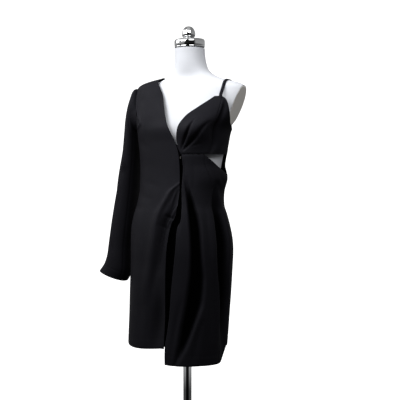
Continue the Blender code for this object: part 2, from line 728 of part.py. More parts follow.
def make_strap(body):
    """The narrow strap, from the cup over the shoulder to the band at the back."""
    bm = bmesh.new()
    bm.from_mesh(body.data)
    tree = BVHTree.FromBMesh(bm)
    bm.free()
    front = cup_cloth(edge(CUP_SEAM)(CUP_TOP), CUP_TOP)
    back = plain_cloth(STRAP_BACK_ANGLE, BAND_TOP)
    hub_y, hub_z = 0.020, 1.300
    start = math.atan2(front.z + 0.012 - hub_z, front.y - 0.004 - hub_y)
    end = math.atan2(back.z + 0.014 - hub_z, back.y + 0.002 - hub_y)
    rows = []
    count = 36
    for i in range(count + 1):
        share = i / count
        turn = start + (end - start) * share
        x = front.x + (back.x - front.x) * share**1.6
        ray = Vector((0, math.cos(turn), math.sin(turn)))
        sides = []
        for side in (-0.5, 0.5):
            aim = Vector((x + side * STRAP_WIDTH, hub_y, hub_z))
            hit, normal, _, _ = tree.ray_cast(aim + ray * 0.3, -ray)
            sides.append((hit, normal))
        rows.append(sides)
    outside = [[hit + normal * (STRAP_LIFT + STRAP_THICKNESS) for hit, normal in row] for row in rows]
    inside = [[hit + normal * STRAP_LIFT for hit, normal in row] for row in rows]
    for grid, lift in ((outside, 0.0), (inside, -STRAP_THICKNESS)):
        for end_row, end_point, angle, z in ((0, front, edge(CUP_SEAM)(CUP_TOP), CUP_TOP),
                                             (-1, back, STRAP_BACK_ANGLE, BAND_TOP)):
            out = facing(plain_cloth, angle, z)
            out = Vector((out.x, out.y, 0)).normalized()
            here = end_point + out * lift + Vector((0, 0, SEAM_GAP + 0.0006))
            half = Vector((STRAP_WIDTH / 2, 0, 0))
            row = [here - half, here + half]
            grid.insert(0 if end_row == 0 else len(grid), row)
    return wall("strap_left", outside, inside)


def make_hook():
    """The small hook that holds the wrapped edge under the bust."""
    z = 1.104
    angle = (angle_at(read(RIGHT_FRONT_EDGE, z)[0], z) + angle_at(read(LEFT_FRONT_EDGE, z)[0], z)) / 2
    seat = underlap_cloth(angle, z) + facing(underlap_cloth, angle, z) * SEAM_GAP
    out = facing(underlap_cloth, angle, z)
    size = Vector((0.0045, 0.0018, 0.0075))
    bm = bmesh.new()
    bmesh.ops.create_cube(bm, size=1.0)
    for v in bm.verts:
        v.co = Vector((v.co.x * size.x, v.co.y * size.y, v.co.z * size.z))
    bmesh.ops.bevel(bm, geom=bm.edges[:], offset=0.0005, segments=2, affect="EDGES")
    hook = add_object("front_hook", bm, CHROME)
    hook.rotation_euler = (-out).to_track_quat("Y", "Z").to_euler()
    hook.location = seat + out * (size.y / 2 + 0.0006)
    return hook


def main():
    for obj in list(bpy.data.objects):
        bpy.data.objects.remove(obj)
    make_stand()
    body = make_form_body()
    make_front_right()
    make_underlap()
    make_skirt_left()
    make_cup()
    make_back_right()
    make_back_left()
    make_sleeve()
    make_strap(body)
    make_hook()


main()
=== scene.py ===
import math

import bpy
import numpy as np
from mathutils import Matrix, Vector
from mathutils.bvhtree import BVHTree


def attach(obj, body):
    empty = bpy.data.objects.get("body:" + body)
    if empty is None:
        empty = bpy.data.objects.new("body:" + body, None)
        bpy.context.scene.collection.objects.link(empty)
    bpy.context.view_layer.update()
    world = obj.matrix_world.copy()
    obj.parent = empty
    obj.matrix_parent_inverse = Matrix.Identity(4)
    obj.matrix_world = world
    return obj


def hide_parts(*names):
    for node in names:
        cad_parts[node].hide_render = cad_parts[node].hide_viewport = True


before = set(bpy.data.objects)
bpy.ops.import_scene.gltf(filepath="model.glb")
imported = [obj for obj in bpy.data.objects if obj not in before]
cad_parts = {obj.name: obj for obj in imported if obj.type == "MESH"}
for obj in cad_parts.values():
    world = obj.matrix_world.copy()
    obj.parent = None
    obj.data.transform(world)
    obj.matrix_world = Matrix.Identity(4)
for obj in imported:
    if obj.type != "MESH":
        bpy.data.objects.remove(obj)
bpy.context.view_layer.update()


# The stand's foot is a heavy steel disc, turned, chromed and polished. Its underside is flat on the
# floor. Chrome gives sharp, slightly cool reflections, with hair-fine polishing marks round it.
def linear(hex_colour):
    """An sRGB hex colour as linear light."""
    parts = [int(hex_colour[i:i + 2], 16) / 255 for i in (1, 3, 5)]
    return [c / 12.92 if c <= 0.04045 else ((c + 0.055) / 1.055) ** 2.4 for c in parts] + [1.0]


def add(tree, kind, links=None, gives=0, sockets=None, stops=(), drives=None, **settings):
    """A shader node with its settings, its links and a ramp's stops, and one of its outputs."""
    node = tree.nodes.new(kind)
    for key, value in (sockets or {}).items():
        node.inputs[key].default_value = value
    for key, value in settings.items():
        setattr(node, key, value)
    for key, source in (links or {}).items():
        tree.links.new(source, node.inputs[key])
    if stops:
        elements = node.color_ramp.elements
        for _ in stops[len(elements):]:
            elements.new(0.5)
        for element, (place, shade) in zip(elements, stops):
            element.position = place
            element.color = shade if hasattr(shade, "__len__") else (shade, shade, shade, 1.0)
    if drives:
        tree.links.new(node.outputs[gives], drives)
    return node.outputs[gives]


def new_material(name, **sockets):
    """A material named for what it is, its shader and its node tree."""
    made = bpy.data.materials.new(name)
    made.use_nodes = True
    shader = made.node_tree.nodes["Principled BSDF"]
    for key, value in sockets.items():
        shader.inputs[key.replace("_", " ")].default_value = value
    made.diffuse_color = shader.inputs["Base Color"].default_value
    return made, shader, made.node_tree


def select_only(piece):
    """This piece alone selected and active."""
    bpy.ops.object.select_all(action="DESELECT")
    piece.select_set(True)
    bpy.context.view_layer.objects.active = piece


def finished(piece, material, node, sharp):
    """The piece, faces outwards, smooth up to a sharp angle, with its material and its ties."""
    select_only(piece)
    bpy.ops.object.mode_set(mode="EDIT")
    bpy.ops.mesh.select_all(action="SELECT")
    bpy.ops.mesh.normals_make_consistent(inside=False)
    bpy.ops.object.mode_set(mode="OBJECT")
    bpy.ops.object.shade_smooth_by_angle(angle=math.radians(sharp))
    piece.data.materials.append(material)
    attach(piece, "root")
    if node:
        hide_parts(node)
    return piece


POLISH_MARK = 0.0011
chrome, shader, tree = new_material("polished chrome plate", Base_Color=linear("#C6C7C8"),
                                    Metallic=1.0)
place = add(tree, "ShaderNodeTexCoord", gives="Object")
round_it = add(tree, "ShaderNodeMapping", {"Vector": place},
               sockets={"Scale": (6.0, 6.0, 1 / POLISH_MARK)})
marks = add(tree, "ShaderNodeTexNoise", {"Vector": round_it},
            sockets={"Scale": 1.0, "Detail": 3.0, "Roughness": 0.6})
smears = add(tree, "ShaderNodeTexNoise", {"Vector": place}, sockets={"Scale": 55.0, "Detail": 4.0})
blend = add(tree, "ShaderNodeMath", {0: marks, 1: smears}, operation="MULTIPLY")
add(tree, "ShaderNodeValToRGB", {0: blend}, stops=[(0.15, 0.05), (0.55, 0.20)],
    drives=shader.inputs["Roughness"])
add(tree, "ShaderNodeBump", {"Height": marks}, sockets={"Strength": 0.03, "Distance": 0.0003},
    drives=shader.inputs["Normal"])


def turned(name, node, rows, y, z, lean=0.0, sides=96):
    """A chromed disc drawn out ring by ring through (radius, height) rows, as on a lathe."""
    bpy.ops.object.select_all(action="DESELECT")
    (radius, height), rest = rows[0], rows[1:]
    bpy.ops.mesh.primitive_circle_add(vertices=sides, radius=radius, fill_type="NGON",
                                      location=(0, y, z + height))
    piece = bpy.context.object
    piece.name = piece.data.name = name
    bpy.ops.object.mode_set(mode="EDIT")
    bpy.ops.mesh.select_all(action="SELECT")
    for next_radius, next_height in rest:
        bpy.ops.mesh.extrude_region_move(
            TRANSFORM_OT_translate={"value": (0, 0, next_height - height)})
        scale = next_radius / radius
        bpy.ops.transform.resize(value=(scale, scale, 1), center_override=(0, y, z + next_height))
        radius, height = next_radius, next_height
    bpy.ops.mesh.select_all(action="SELECT")
    if lean:
        bpy.ops.transform.rotate(value=-lean, orient_axis="X", center_override=(0, y, z))
    bpy.ops.object.mode_set(mode="OBJECT")
    bpy.ops.object.transform_apply(location=True, rotation=True, scale=True)
    finished(piece, chrome, node, 35)


FOOT_ROWS = [
    (0.1645, 0.0), (0.168, 0.0006), (0.1696, 0.0022), (0.17, 0.0045), (0.17, 0.0088),
    (0.1694, 0.0108), (0.1678, 0.0122), (0.165, 0.0131), (0.15, 0.0137), (0.12, 0.0145),
    (0.09, 0.0153), (0.06, 0.016), (0.02, 0.0162),
]
FORM_MIDDLE_Y = -0.020
turned("foot", "form_foot", FOOT_ROWS, FORM_MIDDLE_Y, 0.0, sides=160)

# The pole is a chromed steel tube with a flange at its top that the form's body is screwed to. A
# thin ring marks where the inner tube slides out of the outer one to set the height.
POLE_TOP = 0.6597
POLE_ROWS = [
    (0.0145, 0.0603), (0.0145, 0.300), (0.0145, 0.4200), (0.0141, 0.4210), (0.0134, 0.4214),
    (0.0132, 0.4222), (0.0132, POLE_TOP - 0.022), (0.0142, POLE_TOP - 0.016),
    (0.0200, POLE_TOP - 0.010), (0.0340, POLE_TOP - 0.0065), (0.0438, POLE_TOP - 0.0052),
    (0.0450, POLE_TOP - 0.0040), (0.0450, POLE_TOP - 0.0010), (0.0440, POLE_TOP),
]
turned("pole", "form_pole", POLE_ROWS, FORM_MIDDLE_Y, 0.0, sides=64)

# A turned socket stands on the foot, and the pole is pushed into it and held by a grub screw.
SOCKET_ROWS = [
    (0.044, 0.0), (0.045, 0.0008), (0.0448, 0.0022), (0.0425, 0.0036), (0.0388, 0.0048),
    (0.035, 0.0062), (0.0312, 0.009), (0.0276, 0.014), (0.0252, 0.019), (0.0236, 0.024),
    (0.0226, 0.031), (0.0221, 0.038), (0.022, 0.0412), (0.0214, 0.0425), (0.02, 0.043),
]
turned("socket", "form_socket", SOCKET_ROWS, FORM_MIDDLE_Y, 0.0165)

# The form's body is a hollow glass-fibre shell of a woman's torso, without arms, legs or head. It
# is sprayed with white satin paint, so it is smooth and shades softly from light to dark.
FORM_SECTIONS = [
    (0.660, 0.112, 0.088, 0.088, -0.020),
    (0.668, 0.122, 0.098, 0.098, -0.020),
    (0.700, 0.129, 0.104, 0.106, -0.020),
    (0.760, 0.132, 0.106, 0.114, -0.020),
    (0.810, 0.132, 0.105, 0.114, -0.020),
    (0.860, 0.126, 0.102, 0.106, -0.018),
    (0.920, 0.112, 0.094, 0.094, -0.013),
    (0.980, 0.106, 0.089, 0.085, -0.008),
    (1.040, 0.110, 0.088, 0.081, -0.005),
    (1.083, 0.117, 0.089, 0.082, -0.003),
    (1.120, 0.124, 0.090, 0.086, -0.001),
    (1.160, 0.133, 0.091, 0.092, 0.000),
    (1.205, 0.143, 0.092, 0.096, 0.003),
    (1.240, 0.169, 0.092, 0.097, 0.008),
    (1.280, 0.194, 0.089, 0.095, 0.014),
    (1.310, 0.206, 0.085, 0.090, 0.018),
    (1.335, 0.208, 0.080, 0.083, 0.020),
    (1.352, 0.201, 0.075, 0.076, 0.020),
    (1.364, 0.181, 0.070, 0.070, 0.020),
    (1.3725, 0.152, 0.066, 0.065, 0.020),
    (1.384, 0.111, 0.060, 0.059, 0.018),
    (1.398, 0.082, 0.056, 0.055, 0.014),
    (1.414, 0.065, 0.054, 0.054, 0.009),
    (1.440, 0.056, 0.053, 0.053, 0.004),
    (1.470, 0.053, 0.052, 0.052, 0.000),
    (1.489, 0.0525, 0.0525, 0.0525, -0.002),
]
FORM_BOTTOM, NECK_TOP = 0.660, 1.489
BUST_ANGLE, BUST_HEIGHT, BUST_ACROSS, BUST_UP = 28.0, 1.200, 0.050, 0.047
FOLD_RADIUS = 0.15
FORM_BUST = 0.020
PLATE_TOP_X, PLATE_TOP_Z = 0.197, 1.350
PLATE_LOW_X, PLATE_LOW_Z, PLATE_FLOOR = 0.146, 1.205, 1.195


def read(rows, at):
    """The columns after the first, on a smooth curve through the rows, where the first is at."""
    table = np.array(rows, dtype=float)
    knots, values = table[:, 0], table[:, 1:]
    at = np.clip(np.asarray(at, dtype=float), knots[0], knots[-1])
    slopes = np.empty_like(values)
    slopes[1:-1] = (values[2:] - values[:-2]) / (knots[2:] - knots[:-2])[:, None]
    slopes[0] = (values[1] - values[0]) / (knots[1] - knots[0])
    slopes[-1] = (values[-1] - values[-2]) / (knots[-1] - knots[-2])
    i = np.clip(np.searchsorted(knots, at) - 1, 0, len(knots) - 2)
    span = (knots[i + 1] - knots[i])[..., None]
    t = (at - knots[i])[..., None] / span
    smooth = ((2 * t**3 - 3 * t**2 + 1) * values[i] + (t**3 - 2 * t**2 + t) * span * slopes[i]
              + (3 * t**2 - 2 * t**3) * values[i + 1] + (t**3 - t**2) * span * slopes[i + 1])
    return [smooth[..., k] for k in range(smooth.shape[-1])]


def bust_rise(angle, z):
    """The bust's share of fullness, from 0 to 1."""
    across = np.radians(np.abs(angle) - BUST_ANGLE) * FOLD_RADIUS / BUST_ACROSS
    return np.exp(-(across**2) - ((z - BUST_HEIGHT) / BUST_UP) ** 2)


def form_points(angle, z):
    """Points of the form's body, from angles round it and heights."""
    half_width, front, back, middle = read(FORM_SECTIONS, z)
    turn = np.radians(angle)
    ahead = np.cos(turn)
    rise = FORM_BUST * bust_rise((angle + 180) % 360 - 180, z)
    return np.stack([np.sin(turn) * (half_width + rise * 0.5),
                     middle - np.where(ahead > 0, front, back) * ahead - rise * ahead,
                     z + 0 * angle], axis=-1)


def mesh_object(name, points, faces):
    """A new object from points and faces."""
    mesh = bpy.data.meshes.new(name)
    mesh.from_pydata(np.asarray(points).reshape(-1, 3).tolist(), [], faces)
    mesh.update()
    made = bpy.data.objects.new(name, mesh)
    bpy.context.scene.collection.objects.link(made)
    return made


def tube_faces(rings, sides):
    """Faces of a tube of rings, closed at both ends."""
    last = (rings - 1) * sides
    return ([(i * sides + j, i * sides + (j + 1) % sides, (i + 1) * sides + (j + 1) % sides,
              (i + 1) * sides + j) for i in range(rings - 1) for j in range(sides)]
            + [tuple(range(sides))[::-1], tuple(range(last, last + sides))])


SIDES = 144
heights = np.concatenate([
    [FORM_BOTTOM, 0.6606, 0.662, 0.6645, 0.668, 0.673], np.linspace(0.68, 1.30, 125),
    np.linspace(1.304, 1.344, 11), np.linspace(1.347, 1.392, 24), np.linspace(1.395, NECK_TOP, 32)])
turns = np.arange(SIDES) * 360 / SIDES
body = mesh_object("painted_body", form_points(*np.meshgrid(turns, heights)),
                   tube_faces(len(heights), SIDES))

# The paint's faint orange peel breaks up its soft shine, and handling has dulled it in places.
paint, shader, tree = new_material("white satin paint on glass fibre",
                                   Base_Color=linear("#D2D4D9"), Specular_IOR_Level=0.25)
place = add(tree, "ShaderNodeTexCoord", gives="Object")
hand = add(tree, "ShaderNodeTexNoise", {"Vector": place},
           sockets={"Scale": 9.0, "Detail": 4.0, "Roughness": 0.6})
add(tree, "ShaderNodeValToRGB", {0: hand},
    stops=[(0.3, linear("#D0D2D7")), (0.7, linear("#D4D6DB"))], drives=shader.inputs["Base Color"])
add(tree, "ShaderNodeValToRGB", {0: hand}, stops=[(0.3, 0.46), (0.7, 0.56)],
    drives=shader.inputs["Roughness"])
peel = add(tree, "ShaderNodeTexNoise", {"Vector": place}, sockets={"Scale": 220.0, "Detail": 2.0})
add(tree, "ShaderNodeBump", {"Height": peel}, sockets={"Strength": 0.05, "Distance": 0.0004},
    drives=shader.inputs["Normal"])
body.data.materials.append(paint)

# Each armhole is sawn off flat before the shell is sprayed.
lean = math.atan2(PLATE_TOP_X - PLATE_LOW_X, PLATE_TOP_Z - PLATE_LOW_Z)
for side in (-1, 1):
    select_only(body)
    bpy.ops.object.mode_set(mode="EDIT")
    bpy.ops.mesh.select_mode(type="FACE")
    bpy.ops.mesh.select_all(action="DESELECT")
    bpy.ops.object.mode_set(mode="OBJECT")
    for polygon in body.data.polygons:
        polygon.select = all(body.data.vertices[v].co.z > PLATE_FLOOR for v in polygon.vertices)
    bpy.ops.object.mode_set(mode="EDIT")
    bpy.ops.mesh.bisect(plane_co=(side * PLATE_TOP_X, 0, PLATE_TOP_Z),
                        plane_no=(side * math.cos(lean), 0, -math.sin(lean)),
                        use_fill=True, clear_outer=True)
    bpy.ops.object.mode_set(mode="OBJECT")
bpy.ops.object.shade_smooth_by_angle(angle=math.radians(38))
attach(body, "root")
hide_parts("form_body")

# A thin plate of satin grey metal is glued on to close each armhole. Its edge is rounded over and
# stops a little short of the shell's rim.
plate_metal, shader, tree = new_material("satin anodised aluminium",
                                         Base_Color=linear("#E9E6E1"), Metallic=0.10)
# Brushing leaves short level streaks, which shine a little unevenly.
place = add(tree, "ShaderNodeTexCoord", gives="Object")
brushed = add(tree, "ShaderNodeMapping", {"Vector": place}, sockets={"Scale": (40, 40, 1400)})
streaks = add(tree, "ShaderNodeTexNoise", {"Vector": brushed},
              sockets={"Scale": 1.0, "Detail": 4.0})
add(tree, "ShaderNodeValToRGB", {0: streaks}, stops=[(0.3, 0.36), (0.7, 0.50)],
    drives=shader.inputs["Roughness"])
PLATE_SIDES, PLATE_SETBACK = 96, 0.0028
# Columns: height of the ring over the shell's cut face, and how far it draws in from the outline.
PLATE_RINGS = [(0.0003, 0.0), (0.0008, 0.0001), (0.0011, 0.0004), (0.0013, 0.0010),
               (0.0013, 0.0040)]
shell = BVHTree.FromPolygons([v.co for v in body.data.vertices],
                             [tuple(p.vertices) for p in body.data.polygons])
for side, label in ((-1, "right"), (1, "left")):
    out = Vector((side * math.cos(lean), 0, -math.sin(lean)))
    upward = Vector((side * math.sin(lean), 0, math.cos(lean)))
    middle = Vector((side * (PLATE_TOP_X + PLATE_LOW_X) / 2, 0.014,
                     (PLATE_TOP_Z + PLATE_LOW_Z) / 2))
    ways = [upward * math.cos(2 * math.pi * i / PLATE_SIDES)
            + Vector((0, side * math.sin(2 * math.pi * i / PLATE_SIDES), 0))
            for i in range(PLATE_SIDES)]
    reaches = [(shell.ray_cast(middle - out * 0.0006, way)[0] - middle).dot(way) for way in ways]
    bpy.ops.object.select_all(action="DESELECT")
    bpy.ops.mesh.primitive_circle_add(vertices=PLATE_SIDES, radius=1.0, fill_type="NGON",
                                      location=(0, 0, 0))
    plate = bpy.context.object
    plate.name = plate.data.name = f"{label}_arm_plate"
    bpy.ops.object.mode_set(mode="EDIT")
    bpy.ops.mesh.select_all(action="SELECT")
    for _ in PLATE_RINGS[1:]:
        bpy.ops.mesh.extrude_region_move(TRANSFORM_OT_translate={"value": (0, 0, 0.001)})
    bpy.ops.object.mode_set(mode="OBJECT")
    by_height = sorted(plate.data.vertices, key=lambda v: round(v.co.z, 5))
    for k, (height, inset) in enumerate(PLATE_RINGS):
        for vertex in by_height[k * PLATE_SIDES:(k + 1) * PLATE_SIDES]:
            i = round(math.atan2(vertex.co.x, vertex.co.y) / (2 * math.pi) * PLATE_SIDES)
            reach = reaches[i % PLATE_SIDES] - PLATE_SETBACK - inset
            vertex.co = middle + ways[i % PLATE_SIDES] * reach + out * height
    finished(plate, plate_metal, None, 30)

# The neck is closed with a chromed cap: a spun steel ring with rolled edges. The egg-shaped finial
# on it is chromed too, and is what the form is lifted by.
CAP_ROWS = [
    (0.0505, 0.0), (0.0518, 0.0006), (0.0528, 0.0022), (0.0531, 0.0045), (0.0527, 0.0058),
    (0.0526, 0.0064), (0.0531, 0.0078), (0.0535, 0.011), (0.0535, 0.022), (0.0531, 0.0245),
    (0.0522, 0.0266), (0.0506, 0.0286), (0.048, 0.0301), (0.044, 0.0311), (0.036, 0.0315),
    (0.02, 0.0315),
]
FINIAL_ROWS = [
    (0.0165, 0.0), (0.0176, 0.0006), (0.0178, 0.0018), (0.0176, 0.003), (0.019, 0.0042),
    (0.0208, 0.006), (0.0224, 0.0085), (0.0233, 0.0118), (0.0235, 0.0155), (0.0232, 0.0195),
    (0.0224, 0.0235), (0.0211, 0.0275), (0.0193, 0.0313), (0.017, 0.0349), (0.0142, 0.038),
    (0.011, 0.0404), (0.0075, 0.0418), (0.004, 0.0424), (0.001, 0.0425),
]
CAP_LEAN, CAP_RADIUS, NECK_MIDDLE_Y, SEAT = math.radians(2.5), 0.0535, -0.002, 0.0003
cap_z = NECK_TOP + SEAT + CAP_RADIUS * math.sin(CAP_LEAN)
turned("neck_cap", "form_neck_cap", CAP_ROWS, NECK_MIDDLE_Y, cap_z, lean=CAP_LEAN)
rise = CAP_ROWS[-1][1] + SEAT
turned("finial", "form_finial", FINIAL_ROWS, NECK_MIDDLE_Y - math.sin(CAP_LEAN) * rise - 0.006,
       cap_z + math.cos(CAP_LEAN) * rise, lean=CAP_LEAN, sides=64)

# The back of the dress is cut in two, joined down the centre back. The right half runs from the
# shoulder to the hem, and the left half is a band, a waist cut away at the side, and the skirt.
# The cloth is a black crepe of middle weight. Its hard-twisted yarn gives a dry, pebbled face with
# a low sheen, and heavy round folds. Edges are faced, and the hem is turned and blind-sewn.
CLOTH = 0.002
SEAM_GAP = 0.00004
SEAM_HALF_ANGLE = 0.010
SHOULDER_TOP, ARMHOLE_TOP, ARMPIT, BAND_TOP, UNDERBUST = 1.393, 1.357, 1.207, 1.207, 1.119
SKIRT_TOP, CUTOUT_FLOOR, HEM = 1.1165, 1.0495, 0.458
RIGHT_SIDE, LEFT_SIDE, CENTRE_BACK = -90.0, 100.0, 180.0
ARMHOLE_FRONT_REACH, ARMHOLE_BACK_REACH = 23.0, 25.0
CLOTH_SECTIONS = [
    (0.400, 0.2215, 0.1345, 0.150, 0.128, -0.020, 2.00),
    (0.463, 0.2210, 0.1410, 0.150, 0.129, -0.020, 2.00),
    (0.560, 0.2175, 0.1495, 0.150, 0.131, -0.020, 2.00),
    (0.640, 0.2165, 0.1555, 0.150, 0.133, -0.020, 2.00),
    (0.736, 0.2125, 0.1625, 0.149, 0.135, -0.020, 2.00),
    (0.785, 0.2125, 0.1645, 0.149, 0.135, -0.020, 2.00),
    (0.827, 0.2115, 0.1620, 0.147, 0.132, -0.0195, 2.00),
    (0.8725, 0.208, 0.1530, 0.143, 0.124, -0.018, 2.00),
    (0.911, 0.201, 0.1410, 0.138, 0.116, -0.0155, 2.00),
    (0.9425, 0.193, 0.1290, 0.133, 0.109, -0.012, 2.00),
    (0.990, 0.1845, 0.1290, 0.127, 0.101, -0.008, 2.00),
    (1.030, 0.184, 0.1400, 0.123, 0.098, -0.005, 2.00),
    (1.055, 0.185, 0.1385, 0.121, 0.097, -0.004, 2.00),
    (1.080, 0.186, 0.1320, 0.120, 0.095, -0.003, 2.00),
    (1.1175, 0.189, 0.1360, 0.120, 0.096, -0.001, 2.05),
    (1.160, 0.193, 0.1420, 0.120, 0.101, 0.000, 2.10),
    (1.205, 0.197, 0.1510, 0.124, 0.106, 0.003, 2.25),
    (1.240, 0.203, 0.1780, 0.117, 0.106, 0.008, 2.40),
    (1.280, 0.209, 0.2020, 0.106, 0.103, 0.014, 2.42),
    (1.310, 0.2125, 0.2125, 0.096, 0.098, 0.018, 2.43),
    (1.343, 0.2115, 0.2115, 0.087, 0.089, 0.020, 2.45),
    (1.361, 0.2085, 0.204, 0.081, 0.081, 0.020, 2.40),
    (1.373, 0.1905, 0.184, 0.075, 0.074, 0.020, 2.27),
    (1.382, 0.1595, 0.154, 0.068, 0.067, 0.020, 2.18),
    (1.389, 0.124, 0.124, 0.059, 0.058, 0.020, 2.10),
    (1.396, 0.098, 0.098, 0.048, 0.047, 0.020, 2.00),
]
BACK_NECK_EDGE = [
    (1.207, 180.0), (1.24, 193.0), (1.29, 211.0), (1.34, 228.0), (1.372, 242.0), (1.393, 256.0),
]
# The long folds: the height, angle and depth of places on each fold's line, and its half width on
# its right and on its left. A ridge is negative. The drapes have steep sides and a flat floor.
FOLDS = {
    "front drape": [
        (0.4000, 11.0, 0.003, 0.007, 0.009),
        (0.4300, 15.0, 0.010, 0.009, 0.012),
        (0.4728, 20.5, 0.022, 0.012, 0.017),
        (0.5260, 26.0, 0.033, 0.017, 0.021),
        (0.5736, 31.0, 0.040, 0.020, 0.023),
        (0.6160, 34.5, 0.040, 0.023, 0.026),
        (0.6930, 36.5, 0.035, 0.021, 0.024),
        (0.7500, 35.5, 0.034, 0.017, 0.019),
        (0.8080, 34.5, 0.034, 0.015, 0.017),
        (0.8920, 33.5, 0.032, 0.015, 0.017),
        (0.9440, 31.0, 0.026, 0.012, 0.014),
        (0.9800, 26.0, 0.014, 0.009, 0.010),
        (1.0050, 22.0, 0.006, 0.008, 0.008),
        (1.0450, 18.0, 0.000, 0.008, 0.008),
    ],
    "side drape": [
        (0.4000, 90.0, 0.000, 0.018, 0.018),
        (0.4840, 86.0, 0.009, 0.018, 0.020),
        (0.6200, 82.0, 0.024, 0.019, 0.025),
        (0.7310, 75.0, 0.026, 0.021, 0.028),
        (0.8440, 74.0, 0.026, 0.024, 0.034),
        (0.9220, 75.0, 0.020, 0.022, 0.030),
        (0.9760, 71.0, 0.009, 0.012, 0.016),
        (1.0300, 68.0, 0.000, 0.010, 0.012),
    ],
    "ridge from the tack": [
        (0.600, -27.0, 0.000, 0.020, 0.020),
        (0.674, -23.0, -0.005, 0.020, 0.016),
        (0.7315, -19.0, -0.007, 0.018, 0.013),
        (0.8266, -15.0, -0.009, 0.017, 0.010),
        (0.892, -13.0, -0.010, 0.015, 0.008),
        (0.932, -9.5, -0.010, 0.013, 0.007),
        (0.958, -6.0, -0.009, 0.011, 0.007),
        (0.990, -1.0, -0.007, 0.009, 0.006),
        (1.014, 9.0, -0.003, 0.008, 0.006),
        (1.022, 12.0, 0.000, 0.008, 0.006),
    ],
    "soft hollow above the hem": [
        (0.445, -18.0, 0.007, 0.024, 0.026),
        (0.520, -14.0, 0.012, 0.024, 0.026),
        (0.590, -11.0, 0.012, 0.021, 0.022),
        (0.650, -10.0, 0.006, 0.016, 0.018),
        (0.700, -9.0, 0.000, 0.012, 0.014),
    ],
    "hollow beside the ridge": [
        (0.600, -19.0, 0.000, 0.010, 0.016),
        (0.674, -15.5, 0.005, 0.009, 0.016),
        (0.760, -10.5, 0.010, 0.009, 0.014),
        (0.830, -8.0, 0.013, 0.008, 0.012),
        (0.885, -5.0, 0.014, 0.009, 0.010),
        (0.925, 1.0, 0.011, 0.009, 0.010),
        (0.965, 5.5, 0.007, 0.008, 0.009),
        (1.000, 11.0, 0.000, 0.007, 0.008),
    ],
}

# Small creases: the angle and height of both ends, how far the line bows, depth and half width.
BACK_CREASES = [
    (196, 1.015, 232, 1.043, 0.008, 0.0022, 0.009),
    (188, 0.985, 244, 0.999, -0.010, 0.0028, 0.011),
    (214, 0.962, 262, 0.948, 0.006, 0.0024, 0.010),
    (130, 0.992, 172, 0.978, 0.008, 0.0026, 0.010),
    (126, 0.955, 166, 0.962, -0.006, 0.0018, 0.009),
    (236, 1.185, 258, 1.222, 0.006, 0.0030, 0.011),
    (228, 1.150, 262, 1.176, -0.005, 0.0020, 0.010),
    (205, 0.880, 214, 0.640, 0.012, 0.0035, 0.020),
    (150, 0.850, 146, 0.560, -0.010, 0.0040, 0.022),
    (238, 0.860, 243, 0.520, 0.008, 0.0030, 0.024),
    (222, 1.300, 240, 1.255, 0.004, 0.0016, 0.009),
]
WANDER, ROUND_BELOW = 0.0005, 0.42


def unit(vectors):
    """The vectors, each made one long."""
    return vectors / np.linalg.norm(vectors, axis=-1, keepdims=True)


def plain_cloth(angle, z):
    """The tube of cloth that every body panel is a piece of, with no folds."""
    right, left, front, back, middle, square = read(CLOTH_SECTIONS, z)
    turn = np.radians(angle)
    across = np.sign(np.sin(turn)) * np.abs(np.sin(turn)) ** (2 / square)
    ahead = np.sign(np.cos(turn)) * np.abs(np.cos(turn)) ** (2 / square)
    return np.stack([np.where(across > 0, left, right) * across,
                     middle - np.where(ahead > 0, front, back) * ahead,
                     z + 0 * angle], axis=-1)


def facing(surface, angle, z, step=0.0015):
    """The outward direction of a surface that is a function of angle and height."""
    turn = math.degrees(step / FOLD_RADIUS)
    along = surface(angle + turn, z) - surface(angle - turn, z)
    return unit(np.cross(along, surface(angle, z + step) - surface(angle, z - step)))


def fold_depth(folds, angle, z):
    """How far the long folds push the cloth inwards. Drapes are round near the hem, flat above."""
    pushed = np.zeros(np.broadcast(angle, z).shape)
    for name, rows in folds.items():
        line, depth, right, left = read(rows, z)
        away = np.abs(np.radians(angle - line) * FOLD_RADIUS) / np.where(angle > line, left, right)
        power = np.clip(2 + (z - ROUND_BELOW) / 0.12, 2, 4) if "drape" in name else 2
        here = depth * np.exp(-(away ** power))
        pushed = pushed + np.where((z >= rows[0][0]) & (z <= rows[-1][0]), here, 0.0)
    return pushed


def crease_depth(creases, angle, z):
    """How far the small creases push the cloth inwards: each fades towards both its ends."""
    u, pushed = np.radians(angle) * FOLD_RADIUS, np.zeros(np.broadcast(angle, z).shape)
    for a0, z0, a1, z1, bow, depth, half_width in creases:
        u0, along_u = math.radians(a0) * FOLD_RADIUS, math.radians(a1 - a0) * FOLD_RADIUS
        length = math.hypot(along_u, z1 - z0)
        t = ((u - u0) * along_u + (z - z0) * (z1 - z0)) / length**2
        off = ((u - u0) * (z1 - z0) - (z - z0) * along_u) / length
        share = np.clip(t, 0, 1)
        off = off - bow * 4 * share * (1 - share)
        pushed = pushed + depth * np.sin(np.pi * share) ** 0.8 * np.exp(-((off / half_width) ** 2))
    return pushed


def draped_with(creases):
    """The tube of cloth with the long folds, the given creases and a slight wander."""
    def surface(angle, z):
        wander = np.sin(angle * 0.11 + z * 17) * np.sin(z * 23 - angle * 0.06) * WANDER
        inwards = fold_depth(FOLDS, angle, z) + crease_depth(creases, angle, z) + wander
        return plain_cloth(angle, z) - facing(plain_cloth, angle, z) * inwards[..., None]
    return surface


# How an edge is finished. Columns: depth of the dip at the edge, its width, the place of a row of
# hidden stitches, how deep they pull, and their width.
SEAM = (0.0011, 0.0028, 0.0, 0.0, 1.0)
FACED = (0.0007, 0.0014, 0.0075, 0.00035, 0.0020)
TURNED_HEM = (0.0007, 0.0014, 0.0330, 0.00055, 0.0022)


def edge_dip(edge, away):
    """How far the cloth dips, this far from an edge of that finish."""
    dip, width, row, pull, row_width = edge
    return (dip * np.exp(-((away / width) ** 2))
            + pull * np.exp(-(((away - row) / row_width) ** 2)))


